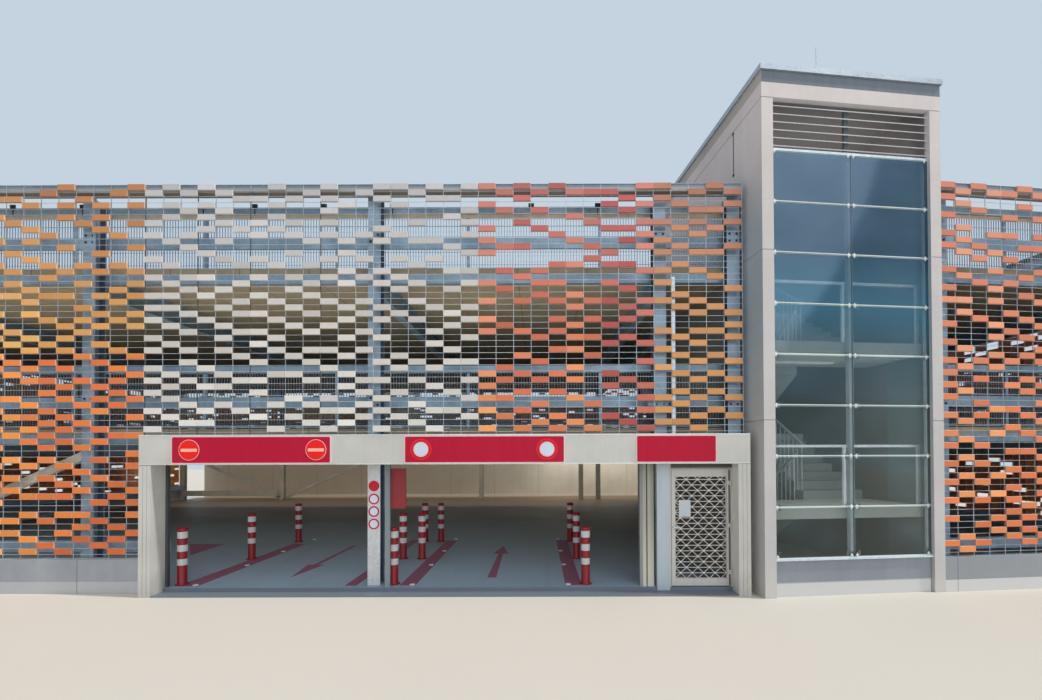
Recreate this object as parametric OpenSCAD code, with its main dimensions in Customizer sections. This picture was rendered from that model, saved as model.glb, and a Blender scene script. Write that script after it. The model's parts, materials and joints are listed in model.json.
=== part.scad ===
// Multi storey car park: a steel frame with two open parking decks behind a
// screen of small plates, a drive-through portal with a gate for people beside
// it, and a glazed concrete stair tower. Millimetres, +Z up. The origin is on
// the ground, on the line of the front screen. +X runs along the front and +Y
// runs into the building.

/* [Grid] */
// Spacing of the column lines along the front
bay_w = 5000; // [4600:50:5400]
// Whole bays to the left of the portal's right column
left_bays = 4; // [3:1:5]
// Place of the portal's right column line
line_x = 2420; // [2300:10:2500]
// From that line to the last front column, beside the stair tower
short_bay = 1290; // [1250:10:1300]
// Distance between the front and the rear screen
screen_depth = 16540; // [15000:20:18000]
// Whole bays of the wing beyond the stair tower
wing_bays = 1; // [1:1:2]
// Spacing of the wing's column lines
wing_bay_w = 5000; // [4600:50:5400]

/* [Storeys] */
// Thickness of the ground floor plate above the ground
floor_t = 80; // [60:5:120]
// Top of the first parking deck
deck1_h = 2820; // [2780:10:2900]
// Height from the first deck to the second
storey_h = 2870; // [2800:10:3000]
// Thickness of a parking deck
deck_t = 100; // [80:5:120]
// Height of the screen above the second deck
screen_over = 1340; // [1250:10:1500]
// Height of the concrete upstand under the screens
plinth_h = 580; // [500:10:650]
// Thickness of the concrete upstand
plinth_t = 180; // [150:5:200]

/* [Steel frame] */
// Width and depth of an H column
col_w = 220; // [200:5:240]
// Flange thickness of an H column
col_flange = 16; // [12:1:20]
// Web thickness of an H column
col_web = 10; // [8:1:14]
// Gap between a screen and the columns behind it
col_gap = 120; // [100:5:140]
// Depth of a floor beam
beam_h = 400; // [360:10:440]
// Width of a floor beam
beam_w = 180; // [160:5:200]
// Flange thickness of a floor beam
beam_flange = 14; // [10:1:18]
// Web thickness of a floor beam
beam_web = 9; // [7:1:12]
// Height of the channel along a deck edge
edge_h = 160; // [140:5:200]
// Depth of the channel along a deck edge
edge_d = 80; // [60:5:100]
// Steel thickness of the channels
channel_t = 8; // [6:1:12]
// Height of a wind brace
brace_h = 160; // [120:5:180]
// Depth of a wind brace
brace_d = 80; // [60:5:100]
// Height of the beam that the screens hang from
head_h = 130; // [110:5:160]
// Depth of the beam that the screens hang from
head_d = 194; // [180:2:220]
// Width of the posts that stiffen the end screens
post_w = 110; // [90:5:112]

/* [Deck edges] */
// From a front or rear screen to the deck edge
edge_in = 350; // [345:1:380]
// Top of the guard rail above a deck
rail_top = 1130; // [1000:10:1200]
// Height of the guard rail's top rail
rail_h = 120; // [100:5:180]
// Depth of the guard rail's top rail
rail_d = 120; // [90:5:150]
// Underside of the crash beam above a deck
crash_low = 370; // [300:10:420]
// Height of the crash beam
crash_h = 200; // [160:5:240]
// Underside of the ground floor's crash beam above the plate
base_crash_low = 550; // [520:10:620]
// Largest spacing of the guard rail's posts
rail_post_pitch = 2500; // [2000:100:3000]
// Width of a guard rail's post
rail_post = 50; // [40:5:60]

/* [Screens] */
// Width of one column of plates in the screens
tile_w = 302.4; // [250:0.1:400]
// Left side of the column of plates from which the front's others count
tile_x0 = -6485; // [-6600:5:-6400]
// Height of one row of plates
tile_h = 104.5; // [90:0.5:130]
// Rows of plates between two cross bars
cross_rows = 14; // [8:1:20]
// Thickness of the screen's bars
net_t = 8; // [6:1:16]

/* [Portal] */
// Left side of the portal
portal_x0 = -6340; // [-6600:10:-6200]
// Right side of the portal
portal_x1 = 3800; // [3790:1:3810]
// Width of a jamb
jamb_w = 200; // [150:10:250]
// How far the portal stands in front of the screen
portal_out = 310; // [250:10:400]
// Clear height of the portal
portal_clear = 2190; // [2150:5:2250]
// Height of the lintel
lintel_h = 500; // [450:10:550]
// Depth of the jambs
jamb_d = 330; // [325:1:400]
// Thickness of the portal's cladding
clad_t = 20; // [15:1:30]
// Height of the threshold strip between the jambs
threshold_h = 20; // [10:5:40]
// Width of the two clad posts beside the entry lane
lane_post = 110; // [80:5:120]
// Width of the guide post beside the middle column
mid_guide = 85; // [60:5:100]
// From the middle column to that post
mid_guide_gap = 110; // [80:5:140]
// Width of the guide strip beside the left jamb
side_guide = 40; // [30:5:45]

/* [Gate for people] */
// Thickness of the gate's frame
frame_t = 25; // [20:1:30]
// Clearance round the gate's leaf
gate_gap = 8; // [7:0.5:10]
// Thickness of the leaf
leaf_t = 50; // [40:1:55]
// Top of the leaf above the floor plate
leaf_top = 2010; // [1960:5:2020]
// Width of the leaf's stiles
stile_w = 60; // [50:5:80]
// Height of the leaf's top rail
leaf_rail_top = 120; // [80:5:140]
// Height of the leaf's bottom rail
leaf_rail_low = 120; // [80:5:160]
// Width of one diamond of the grille
diamond_w = 196; // [160:4:240]
// Height of one diamond of the grille
diamond_h = 188; // [150:4:230]
// Width of a grille bar
grille_bar = 12; // [8:1:16]
// Radius of the hinge knuckles
knuckle_r = 11; // [10:1:14]
// Radius of the hinge pins
pin_r = 6; // [5:0.5:7]
// Height of a hinge knuckle
knuckle_h = 70; // [50:5:90]
// From the front of the leaf to the knuckles
hinge_out = 5; // [5:0.5:8]

/* [Stair tower] */
// Turn of the tower and the wing against the main front, in degrees
turn = 6.5; // [6:0.1:7]
// Place of the tower's front left corner along the front
corner_x = 3960; // [3955:1:3975]
// Place of that corner in front of the screen line
corner_y = -460; // [-480:5:-440]
// Width of the tower
tower_w = 3250; // [3200:10:3400]
// Thickness of the tower's walls
wall_t = 200; // [180:5:220]
// Height and depth of the joints between the wall panels
joint_w = 14; // [8:1:20]
// Height of the first joint between two wall panels
first_joint = 2895; // [2850:5:2950]
// Height of a wall panel
panel_h = 2795; // [2700:5:2900]
// Underside of the ring beam at the top
ring_z = 8220; // [8150:10:8300]
// Height of the ring beam
ring_h = 240; // [200:10:280]
// Height of the dark roof edge
roof_h = 200; // [150:10:240]
// Height of the metal capping
cap_h = 90; // [60:5:120]
// How far the capping stands out
cap_out = 30; // [20:5:50]
// Rows of glass panes
glass_rows = 8; // [7:1:9]
// Thickness of the glass
glass_t = 12; // [10:1:16]
// Open joint between the panes
glass_joint = 10; // [8:1:14]
// Top of the sill under the glass
sill_z = 620; // [600:5:660]
// Top of the glazed part
glass_top = 7380; // [7300:10:7450]
// How far the glass lies behind the front of the walls
glass_in = 60; // [40:5:80]
// Width of the middle post behind the glass
mullion_w = 80; // [60:5:100]
// Width of the strips that close the glass at the walls
side_strip = 45; // [30:5:60]
// Number of louvre blades
louvres = 6; // [5:1:8]
// Depth of a louvre blade
blade_d = 110; // [90:5:120]
// Thickness of a louvre blade
blade_t = 14; // [10:1:20]

/* [Stairs] */
// Steps from a floor to the next half landing
risers = 8; // [8:1:9]
// Depth of one tread
going = 280; // [260:5:300]
// Depth of the half landings behind the glass
half_d = 1250; // [1200:10:1300]
// Depth of the landings at the back wall
main_d = 1390; // [1300:10:1500]
// Thickness of the landings
landing_t = 200; // [180:5:220]
// Width of a flight
flight_w = 1250; // [1150:10:1300]
// Thickness of a flight under its steps
waist = 150; // [130:5:180]
// Width of the doorways in the back wall
doorway_w = 1000; // [900:10:1100]
// Height of those doorways
doorway_h = 2100; // [2000:10:2200]
// Height of the guards at the glass
guard_h = 1050; // [1000:10:1100]
// Height of the flights' rails above the front edges of the steps
flight_rail_h = 900; // [850:10:1000]

/* [Yard] */
// Distance from the rear screen to the concrete wall behind the building
well_d = 1660; // [1400:20:2000]
// Height of that wall
yard_wall_h = 2600; // [2200:20:2650]
// Diameter of a bollard
bollard_dia = 190; // [150:5:220]
// Height of a bollard
bollard_h = 1000; // [900:10:1100]
// Spacing of the bollards along the lanes
bollard_pitch = 2100; // [2000:20:2400]

/* [Hidden] */
$fn = 48;
fit = 0.3;
pin_gap = 0.1;

// Levels
deck2_h = deck1_h + storey_h;
screen_top = deck2_h + screen_over;
decks = [deck1_h, deck2_h];
lintel_top = portal_clear + lintel_h;

// Column lines of the main block, from the portal's right column to the left
lines = [for (i = [0:left_bays]) line_x - i * bay_w];
left_line = lines[left_bays];
left_screen = left_line - col_w / 2 - col_gap;
last_col_x = line_x + short_bay;
main_end = last_col_x + col_w / 2;
col_back = col_gap + col_w;
rear_face = screen_depth - col_back;

// Frame of the tower and the wing: x along its front, y into the building
tower_d = wall_t + half_d + (risers - 1) * going + main_d + wall_t;
function from_wing(p) = [corner_x + p[0] * cos(turn) - p[1] * sin(turn),
                         corner_y + p[0] * sin(turn) + p[1] * cos(turn)];
function to_wing(p) = [(p[0] - corner_x) * cos(turn) + (p[1] - corner_y) * sin(turn),
                       (p[1] - corner_y) * cos(turn) - (p[0] - corner_x) * sin(turn)];
// Where the line of the tower's left wall, moved out by off, is at a given y
function tower_line(y, off) = corner_x - off / cos(turn) - (y - corner_y) * tan(turn);
// The point at depth c of the wing's frame whose x in the main frame is s
function on_seam(s, c) = from_wing([(s - corner_x + c * sin(turn)) / cos(turn), c]);
tower_back = from_wing([0, tower_d]);
seam_x = tower_back[0];
seam_col_x = seam_x - fit - col_w / 2;
wing_screen = glass_in;
wing_rear = to_wing([seam_x, screen_depth])[1];
wing_yard = to_wing([seam_x, screen_depth + well_d])[1];
wing_first = tower_w + wing_screen + col_w / 2;
wing_lines = [for (i = [0:wing_bays]) wing_first + i * wing_bay_w];
wing_last = wing_lines[wing_bays];
wing_end = wing_last + col_w / 2 + col_gap;

// An end screen stands post_w from the deck edge, which lies over the end beam
end_in = col_gap + col_w / 2 - beam_w / 2;

module wing() {
    translate([corner_x, corner_y, 0]) rotate([0, 0, turn]) children();
}
// Frames of the sides: x runs along the side and y runs into the building
module rear_side() {
    translate([0, screen_depth, 0]) mirror([0, 1, 0]) children();
}
module left_side() {
    translate([left_screen, 0, 0]) mirror([1, -1, 0]) children();
}
module wing_front_side() {
    wing() translate([0, wing_screen, 0]) children();
}
module wing_rear_side() {
    wing() translate([0, wing_rear, 0]) mirror([0, 1, 0]) children();
}
module wing_end_side() {
    wing() translate([wing_end, 0, 0]) rotate([0, 0, 90]) children();
}

// Floor plate, upstands and yard wall
module floor_slab() {
    plate_x0 = left_screen + col_gap + fit;
    plate_y0 = col_gap + fit;
    yard_y = screen_depth + well_d - fit;
    jamb_back = jamb_d - portal_out;
    wing_y0 = wing_screen + plate_y0;
    wing_x1 = wing_end - plate_y0;
    wing_y1 = wing_yard - fit;
    color("slategray") linear_extrude(floor_t) {
        polygon([
            [plate_x0, plate_y0], [portal_x0 + fit, plate_y0], [portal_x0 + fit, jamb_back],
            [portal_x0 + jamb_w, jamb_back], [portal_x0 + jamb_w, leaf_y0],
            [portal_x1 - jamb_w, leaf_y0], [portal_x1 - jamb_w, jamb_back],
            [tower_line(jamb_back, fit), jamb_back], [seam_x - fit, tower_back[1]],
            [seam_x - fit, yard_y], [plate_x0, yard_y]
        ]);
        polygon([
            from_wing([tower_w + fit, wing_y0]), from_wing([wing_x1, wing_y0]),
            from_wing([wing_x1, wing_y1]), on_seam(seam_x, wing_y1),
            from_wing([0, tower_d + fit]), from_wing([tower_w + fit, tower_d + fit])
        ]);
    }
    color("slategray") translate([portal_x0 + jamb_w, -portal_out, 0])
        cube([portal_x1 - portal_x0 - 2 * jamb_w, portal_out + leaf_y0, threshold_h]);
}
module upstand(x0, x1) {
    translate([x0, col_gap - plinth_t, 0]) cube([x1 - x0, plinth_t, plinth_h]);
}
module plinths() {
    out = plinth_t - col_gap;
    color("silver") {
        upstand(left_screen - out, portal_x0);
        left_side() upstand(col_gap + fit, screen_depth);
        wing_front_side() upstand(tower_w + fit, wing_end + out);
        wing_end_side() upstand(wing_screen + col_gap + fit, wing_rear);
    }
}
module yard_wall() {
    inner = [[left_screen, screen_depth + well_d], [seam_x, screen_depth + well_d],
             from_wing([wing_end, wing_yard])];
    outer = [from_wing([wing_end, wing_yard + wall_t]), on_seam(seam_x, wing_yard + wall_t),
             [left_screen, screen_depth + well_d + wall_t]];
    color("wheat") linear_extrude(yard_wall_h) polygon(concat(inner, outer));
}

// Portal
module portal_lintel() {
    lintel_w = portal_x1 - portal_x0;
    lintel_d = portal_out + col_gap;
    color("gainsboro") translate([portal_x0, -portal_out, portal_clear]) difference() {
        cube([lintel_w, lintel_d, lintel_h]);
        translate([clad_t, clad_t, clad_t])
            cube([lintel_w - 2 * clad_t, lintel_d, lintel_h - 2 * clad_t]);
    }
}
module jamb(groove_side) {
    groove = 8;
    difference() {
        cube([jamb_w, jamb_d, portal_clear]);
        for (k = [1, 2])
            translate([groove_side > 0 ? jamb_w - k * jamb_w / 3 : k * jamb_w / 3, -1, -1])
                cube([groove, groove + 1, portal_clear + 2]);
    }
}
module portal_jambs() {
    color("gainsboro") {
        translate([portal_x0, -portal_out, 0]) jamb(1);
        translate([portal_x1 - jamb_w, -portal_out, 0]) jamb(-1);
    }
}
module portal_posts() {
    post_y = jamb_d - portal_out;
    post_z = portal_clear - floor_t;
    left_x = line_x - col_w / 2;
    guide_d = 60;
    color("dimgray") {
        translate([left_x - lane_post - 40, post_y, floor_t]) cube([lane_post, lane_post, post_z]);
        translate([left_x - 2 * lane_post - 60, post_y, floor_t]) cube([lane_post, lane_post, post_z]);
        translate([lines[1] + col_w / 2 + mid_guide_gap, post_y, floor_t])
            cube([mid_guide, guide_d, post_z]);
        translate([portal_x0 + jamb_w, post_y, floor_t]) cube([side_guide, guide_d, post_z]);
    }
}

// Steel frame
module h_section() {
    for (y = [0, col_w - col_flange]) translate([-col_w / 2, y]) square([col_w, col_flange]);
    translate([-col_web / 2, 0]) square([col_web, col_w]);
}
module column(x, top) {
    plate_t = 25;
    plate_out = 50;
    translate([x, col_gap, floor_t]) {
        linear_extrude(top - floor_t) h_section();
        translate([-col_w / 2, 0, 0]) cube([col_w, col_w + plate_out, plate_t]);
    }
}
column_top = screen_top - head_h;
module columns_front() {
    color("lightsteelblue") for (x = concat(lines, [last_col_x])) column(x, column_top);
}
module columns_rear() {
    color("lightsteelblue") rear_side() for (x = concat(lines, [seam_col_x])) column(x, column_top);
}
module columns_wing() {
    color("lightsteelblue") {
        wing_front_side() for (x = wing_lines) column(x, column_top);
        wing_rear_side() for (x = wing_lines) column(x, column_top);
    }
}
// Two posts stiffen each end screen between the corner columns
module end_posts(y0, y1) {
    for (k = [1, 2])
        translate([y0 + k * (y1 - y0) / 3 - post_w / 2, 0, plinth_h])
            cube([post_w, post_w, column_top - plinth_h]);
}
module screen_posts() {
    color("lightsteelblue") {
        left_side() end_posts(0, screen_depth);
        wing_end_side() end_posts(wing_screen, wing_rear);
    }
}
// A brace from a column's foot up to the next column, seen from its side
module brace(x0, x1, z0, z1) {
    translate([0, col_gap + brace_d, 0]) rotate([90, 0, 0]) linear_extrude(brace_d)
        polygon([[x0, z0], [x1, z1 - brace_h], [x1, z1], [x0, z0 + brace_h]]);
}
module bracing() {
    z0 = floor_t + 25;
    z1 = deck1_h - beam_h;
    foot = lines[left_bays - 1];
    color("lightsteelblue") for (side = [0, 1]) {
        translate([0, side * screen_depth, 0]) mirror([0, side, 0]) {
            brace(foot + col_w / 2, foot + bay_w - col_w / 2, z0, z1);
            brace(foot - col_w / 2, foot - bay_w + col_w / 2, z0, z1);
        }
    }
}
module i_beam(len) {
    rotate([-90, 0, 0]) linear_extrude(len) {
        for (y = [0, beam_h - beam_flange]) translate([-beam_w / 2, y]) square([beam_w, beam_flange]);
        translate([-beam_web / 2, 0]) square([beam_web, beam_h]);
    }
}
module floor_beams() {
    seam_y = tower_back[1] + beam_w / 2;
    color("lightsteelblue") for (h = decks) translate([0, 0, h - deck_t - fit]) {
        for (x = lines) translate([x, col_back, 0]) i_beam(rear_face - col_back);
        translate([seam_col_x, seam_y, 0]) i_beam(rear_face - seam_y);
        wing() for (x = wing_lines)
            translate([x, wing_screen + col_back, 0])
                i_beam(wing_rear - wing_screen - 2 * col_back);
    }
}
// Channel along a deck edge, with its web to the outside
module edge_channel(x0, x1) {
    translate([x0, edge_in, -edge_h]) difference() {
        cube([x1 - x0, edge_d, edge_h]);
        translate([-1, channel_t, channel_t]) cube([x1 - x0 + 2, edge_d, edge_h - 2 * channel_t]);
    }
}
module edge_beams() {
    b = beam_w / 2;
    color("lightsteelblue") for (h = decks) translate([0, 0, h - deck_t - fit]) {
        for (i = [1:left_bays]) {
            edge_channel(lines[i] + b, lines[i - 1] - b);
            rear_side() edge_channel(lines[i] + b, lines[i - 1] - b);
        }
        edge_channel(line_x + b, main_end);
        rear_side() edge_channel(line_x + b, seam_col_x - b);
        for (i = [1:wing_bays]) {
            wing_front_side() edge_channel(wing_lines[i - 1] + b, wing_lines[i] - b);
            wing_rear_side() edge_channel(wing_lines[i - 1] + b, wing_lines[i] - b);
        }
    }
}

// Decks
module deck(h) {
    rear_y = screen_depth - edge_in;
    wing_y0 = wing_screen + edge_in;
    wing_y1 = wing_rear - edge_in;
    wing_x1 = wing_end - end_in;
    color("tan") translate([0, 0, h - deck_t]) linear_extrude(deck_t) {
        polygon([
            [left_screen + end_in, edge_in], [tower_line(edge_in, fit), edge_in],
            [seam_x - fit, tower_back[1]], [seam_x - fit, rear_y], [left_screen + end_in, rear_y]
        ]);
        polygon([
            from_wing([tower_w + fit, wing_y0]), from_wing([wing_x1, wing_y0]),
            from_wing([wing_x1, wing_y1]), on_seam(seam_x, wing_y1),
            from_wing([0, tower_d + fit]), from_wing([tower_w + fit, tower_d + fit])
        ]);
    }
}
module deck_1() { deck(deck1_h); }
module deck_2() { deck(deck2_h); }

// Guard rail with its posts on the deck and a crash beam in front of them.
// The top rail stands out by rail_front towards the screen
rail_front = 30;
module guard_rail(x0, x1, y) {
    posts = ceil((x1 - x0) / rail_post_pitch);
    crash_t = 40;
    flat_h = 20;
    union() {
        for (i = [0:posts])
            translate([x0 + i * (x1 - x0 - rail_post) / posts, y, 0])
                cube([rail_post, rail_post, rail_top - rail_h + 1]);
        translate([x0, y - rail_front, rail_top - rail_h]) cube([x1 - x0, rail_d, rail_h]);
        translate([x0, y - crash_t, crash_low]) cube([x1 - x0, crash_t + 1, crash_h]);
        translate([x0, y - flat_h / 2, flat_h]) cube([x1 - x0, flat_h, flat_h]);
    }
}
module deck_railings(h) {
    run = edge_in + 50;
    end_run = end_in + 50;
    start = left_screen + end_in + 10;
    corner = run - rail_front + rail_d + 10;
    color("lightsteelblue") translate([0, 0, h]) {
        guard_rail(start, main_end - 10, run);
        rear_side() guard_rail(start, seam_x - 20, run);
        left_side() guard_rail(corner, screen_depth - corner, end_run);
        wing_front_side() guard_rail(tower_w + 20, wing_end - end_in - 10, run);
        wing_rear_side() guard_rail(to_wing([seam_x, screen_depth])[0] + 60, wing_end - end_in - 10, run);
        wing_end_side() guard_rail(wing_screen + corner, wing_rear - corner, end_run);
    }
}
module railings_1() { deck_railings(deck1_h); }
module railings_2() { deck_railings(deck2_h); }

// Ground floor: crash beams fixed to the backs of the columns
module base_crash(x0, x1, y) {
    translate([x0, y, floor_t + base_crash_low]) cube([x1 - x0, brace_d, crash_h]);
}
module base_crash_posts(x0, x1, y, n) {
    for (i = [0:n])
        translate([x0 + i * (x1 - x0 - rail_post) / n, y + brace_d, floor_t])
            cube([rail_post, rail_post, base_crash_low + crash_h]);
}
module crash_rails() {
    start = left_screen + col_back + 10;
    stop = portal_x0;
    color("lightsteelblue") {
        base_crash(start, stop, col_back);
        left_side() {
            base_crash(col_back + 120, rear_face, col_back);
            base_crash_posts(col_back + 120, rear_face, col_back, 6);
        }
        wing_front_side() base_crash(wing_first - col_w / 2, wing_last - col_w / 2, col_back);
        wing_end_side() {
            base_crash(wing_screen + col_back + 120, wing_rear - col_back, col_back);
            base_crash_posts(wing_screen + col_back + 120, wing_rear - col_back, col_back, 6);
        }
    }
}

module head_beam(x0, x1) {
    translate([x0, 0, screen_top - head_h]) difference() {
        cube([x1 - x0, head_d, head_h]);
        translate([-1, channel_t, channel_t]) cube([x1 - x0 + 2, head_d, head_h - 2 * channel_t]);
    }
}
module head_beams() {
    color("lightsteelblue") {
        head_beam(left_screen, main_end);
        rear_side() head_beam(left_screen, seam_x - fit);
        left_side() head_beam(head_d + fit, screen_depth - head_d - fit);
        wing_front_side() head_beam(tower_w + fit, wing_end);
        wing_rear_side() head_beam(to_wing([seam_x, screen_depth])[0] + 30, wing_end);
        wing_end_side() head_beam(wing_screen + head_d + fit, wing_rear - head_d - fit);
    }
}
// Screens: vertical bars between the columns of plates, with cross bars, all
// on the grid of the plates. The columns count from start_x and the rows from
// the top. A bar that would stand close to an end is left out.
module bar_grid(x0, x1, z0, z1, start_x) {
    apart = tile_w / 8;
    cross_h = cross_rows * tile_h;
    for (x = [x0, x1 - net_t]) translate([x, z0]) square([net_t, z1 - z0]);
    for (z = [z0, z1 - net_t]) translate([x0, z]) square([x1 - x0, net_t]);
    for (k = [ceil((x0 + apart - start_x) / tile_w):1:floor((x1 - apart - start_x) / tile_w)])
        translate([start_x + k * tile_w - net_t / 2, z0]) square([net_t, z1 - z0]);
    for (k = [ceil((screen_top - z1 + apart) / cross_h):1:floor((screen_top - z0 - apart) / cross_h)])
        translate([x0, screen_top - k * cross_h - net_t / 2]) square([x1 - x0, net_t]);
}
module flat_screen() {
    rotate([90, 0, 0]) linear_extrude(net_t) union() children();
}
module screen(x0, x1, z0) {
    flat_screen() bar_grid(x0, x1, z0, screen_top, x0);
}
module screen_left() {
    color("orange") flat_screen() {
        bar_grid(left_screen, tile_x0, plinth_h, screen_top, tile_x0);
        bar_grid(tile_x0 - net_t, portal_x0, plinth_h, lintel_top - fit, tile_x0);
    }
}
module screen_portal() {
    color("tomato") flat_screen() bar_grid(tile_x0 + fit, main_end, lintel_top, screen_top, tile_x0);
}
module screen_wing() { color("orange") wing_front_side() screen(tower_w + fit, wing_end, plinth_h); }
module screen_left_end() { color("orange") left_side() screen(0, screen_depth, plinth_h); }
module screen_wing_end() { color("orange") wing_end_side() screen(wing_screen, wing_rear, plinth_h); }
module screen_rear() {
    color("orange") {
        rear_side() screen(left_screen, seam_x - fit, lintel_top);
        wing_rear_side() screen(to_wing([seam_x, screen_depth])[0] + 30, wing_end, lintel_top);
    }
}

// Stair tower
inner_w = tower_w - 2 * wall_t;
// A side wall of storey-high panels, with its outer face at the given x
module side_wall(outer) {
    difference() {
        cube([wall_t, tower_d, ring_z]);
        for (z = [first_joint, first_joint + panel_h, ring_z - joint_w]) {
            translate([outer - joint_w, -1, z]) cube([2 * joint_w, tower_d + 2, joint_w]);
            translate([-1, -joint_w, z]) cube([wall_t + 2, 2 * joint_w, joint_w]);
        }
    }
}
module tower_left_wall() { color("darkgray") wing() side_wall(0); }
module tower_right_wall() {
    color("darkgray") wing() translate([tower_w - wall_t, 0, 0]) side_wall(wall_t);
}
module tower_back_wall() {
    color("darkgray") wing() translate([wall_t, tower_d - wall_t, 0]) difference() {
        cube([inner_w, wall_t, ring_z]);
        for (z = concat([floor_t], decks))
            translate([(inner_w - doorway_w) / 2, -1, z]) cube([doorway_w, wall_t + 2, doorway_h]);
        translate([(inner_w - doorway_w) / 2, -1, -1]) cube([doorway_w, wall_t + 2, floor_t + 2]);
    }
}
module tower_plinth() {
    color("lightgray") wing() translate([wall_t, glass_in, 0]) difference() {
        cube([inner_w, wall_t - glass_in, sill_z - 30]);
        for (x = [-1, inner_w - joint_w]) translate([x, -1, -1]) cube([joint_w + 1, joint_w + 1, sill_z]);
    }
}
module tower_floor() {
    color("gray") wing() translate([wall_t, wall_t, 0]) {
        cube([inner_w, tower_d - 2 * wall_t, floor_t]);
        translate([(inner_w - doorway_w) / 2, tower_d - 2 * wall_t - 1, 0])
            cube([doorway_w, wall_t + 1, floor_t]);
    }
}
arm_y = glass_in + glass_t;
arm_d = 20;
post_y = arm_y + arm_d;
top_rail_d = 112;
top_rail_h = 40;
louvre_post_d = 46;
module glazing_frame() {
    color("white") wing() {
        translate([wall_t, glass_in - 40, sill_z - 30]) cube([inner_w, 160, 30]);
        translate([tower_w / 2 - mullion_w / 2, post_y, sill_z]) cube([mullion_w, 80, glass_top - sill_z]);
        for (x = [wall_t, tower_w - wall_t - side_strip]) translate([x, post_y, sill_z])
            cube([side_strip, side_strip, glass_top - sill_z]);
        translate([wall_t, glass_in, glass_top]) cube([inner_w, top_rail_d, top_rail_h]);
        translate([tower_w / 2 - mullion_w / 2, wall_t - louvre_post_d, glass_top])
            cube([mullion_w, louvre_post_d, ring_z - glass_top]);
    }
}
row_h = (glass_top - sill_z) / glass_rows;
pane_w = (inner_w - glass_joint) / 2;
module tower_glass() {
    color("steelblue", 0.5) wing() for (r = [0:glass_rows - 1]) for (c = [0, 1])
        translate([wall_t + c * (pane_w + glass_joint) + fit, glass_in, sill_z + r * row_h])
            cube([pane_w - 2 * fit, glass_t, row_h - glass_joint]);
}
// Arms that hold the corners of four panes at the middle post or two at a wall
module fitting(w) {
    arm_h = 24;
    disc_r = 22;
    translate([0, arm_y, -arm_h / 2]) cube([w, arm_d, arm_h]);
    disc_z = arm_h / 2 + disc_r - 4;
    for (x = [disc_r, w - disc_r]) for (z = [-disc_z, disc_z])
        translate([x, arm_y + arm_d, z]) rotate([90, 0, 0]) cylinder(r = disc_r, h = arm_d);
}
module glass_fittings() {
    wall_arm = 130;
    mid_arm = 260;
    color("silver") wing() for (r = [0:glass_rows])
        for (p = [[wall_t, wall_arm], [tower_w / 2 - mid_arm / 2, mid_arm],
                  [tower_w - wall_t - wall_arm, wall_arm]])
            translate([p[0], 0, min(max(sill_z + r * row_h - glass_joint / 2, sill_z + 60), glass_top - 60)])
                fitting(p[1]);
}
module tower_louvres() {
    zone = ring_z - glass_top - top_rail_h;
    color("silver") wing() for (i = [0:louvres - 1])
        translate([wall_t, wall_t / 2, glass_top + top_rail_h + (i + 0.5) * zone / louvres])
            rotate([35, 0, 0]) translate([0, -blade_d / 2, -blade_t / 2]) cube([inner_w, blade_d, blade_t]);
}
module tower_ring_beam() {
    color("gainsboro") wing() translate([0, 0, ring_z]) difference() {
        cube([tower_w, tower_d, ring_h]);
        translate([wall_t, wall_t, -1]) cube([inner_w, tower_d - 2 * wall_t, ring_h + 2]);
    }
}
module tower_roof() {
    color("dimgray") wing() translate([0, 0, ring_z + ring_h]) cube([tower_w, tower_d, roof_h]);
}
module tower_capping() {
    color("whitesmoke") wing() translate([-cap_out, -cap_out, ring_z + ring_h + roof_h]) difference() {
        cube([tower_w + 2 * cap_out, tower_d + 2 * cap_out, cap_h]);
        translate([wall_t, wall_t, -1])
            cube([tower_w + 2 * cap_out - 2 * wall_t, tower_d + 2 * cap_out - 2 * wall_t, cap_h + 2]);
    }
}
module lightning_rod() {
    color("gray") wing() translate([1050, wall_t / 2, ring_z + ring_h + roof_h + cap_h])
        cylinder(d = 16, h = 450);
}

// Stairs
half1 = (floor_t + deck1_h) / 2;
half2 = (deck1_h + deck2_h) / 2;
half_y = wall_t + half_d;
main_y = half_y + (risers - 1) * going;
module landing(y0, d, z) {
    translate([wall_t, y0, z - landing_t]) cube([inner_w, d, landing_t]);
}
module stair_landings() {
    color("beige") wing() {
        for (z = [half1, half2]) landing(wall_t, half_d, z);
        for (z = decks) landing(main_y, main_d, z);
    }
}
// A flight in its own frame: it climbs along +y from the level at its start
module flight(rise, from_floor) {
    run = (risers - 1) * going;
    slope = rise / going;
    top = (risers - 1) * rise;
    depth = waist * sqrt(1 + slope * slope);
    steps = [for (k = [0:risers - 2]) each [[k * going, (k + 1) * rise], [(k + 1) * going, (k + 1) * rise]]];
    foot = from_floor ? [[depth / slope, 0], [0, 0]] : [[0, -depth]];
    flight_side(flight_w) polygon(concat(foot, steps, [[run, top - depth]]));
}
// Turns an outline of run and height into a solid of width w along a flight
module flight_side(w) {
    mirror([1, -1, 0]) rotate([90, 0, 0]) mirror([0, 0, 1]) linear_extrude(w) children();
}
flight_gap = (inner_w - 2 * flight_w) / 3;
module left_side_of_stair(z) {
    wing() translate([wall_t + flight_gap, main_y, z]) mirror([0, 1, 0]) children();
}
module right_side_of_stair(z) {
    wing() translate([tower_w - wall_t - flight_gap - flight_w, half_y, z]) children();
}
module left_flight(z, rise, from_floor) {
    color("gray") left_side_of_stair(z) flight(rise, from_floor);
}
module right_flight(z, rise) {
    color("gray") right_side_of_stair(z) flight(rise, false);
}
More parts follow.
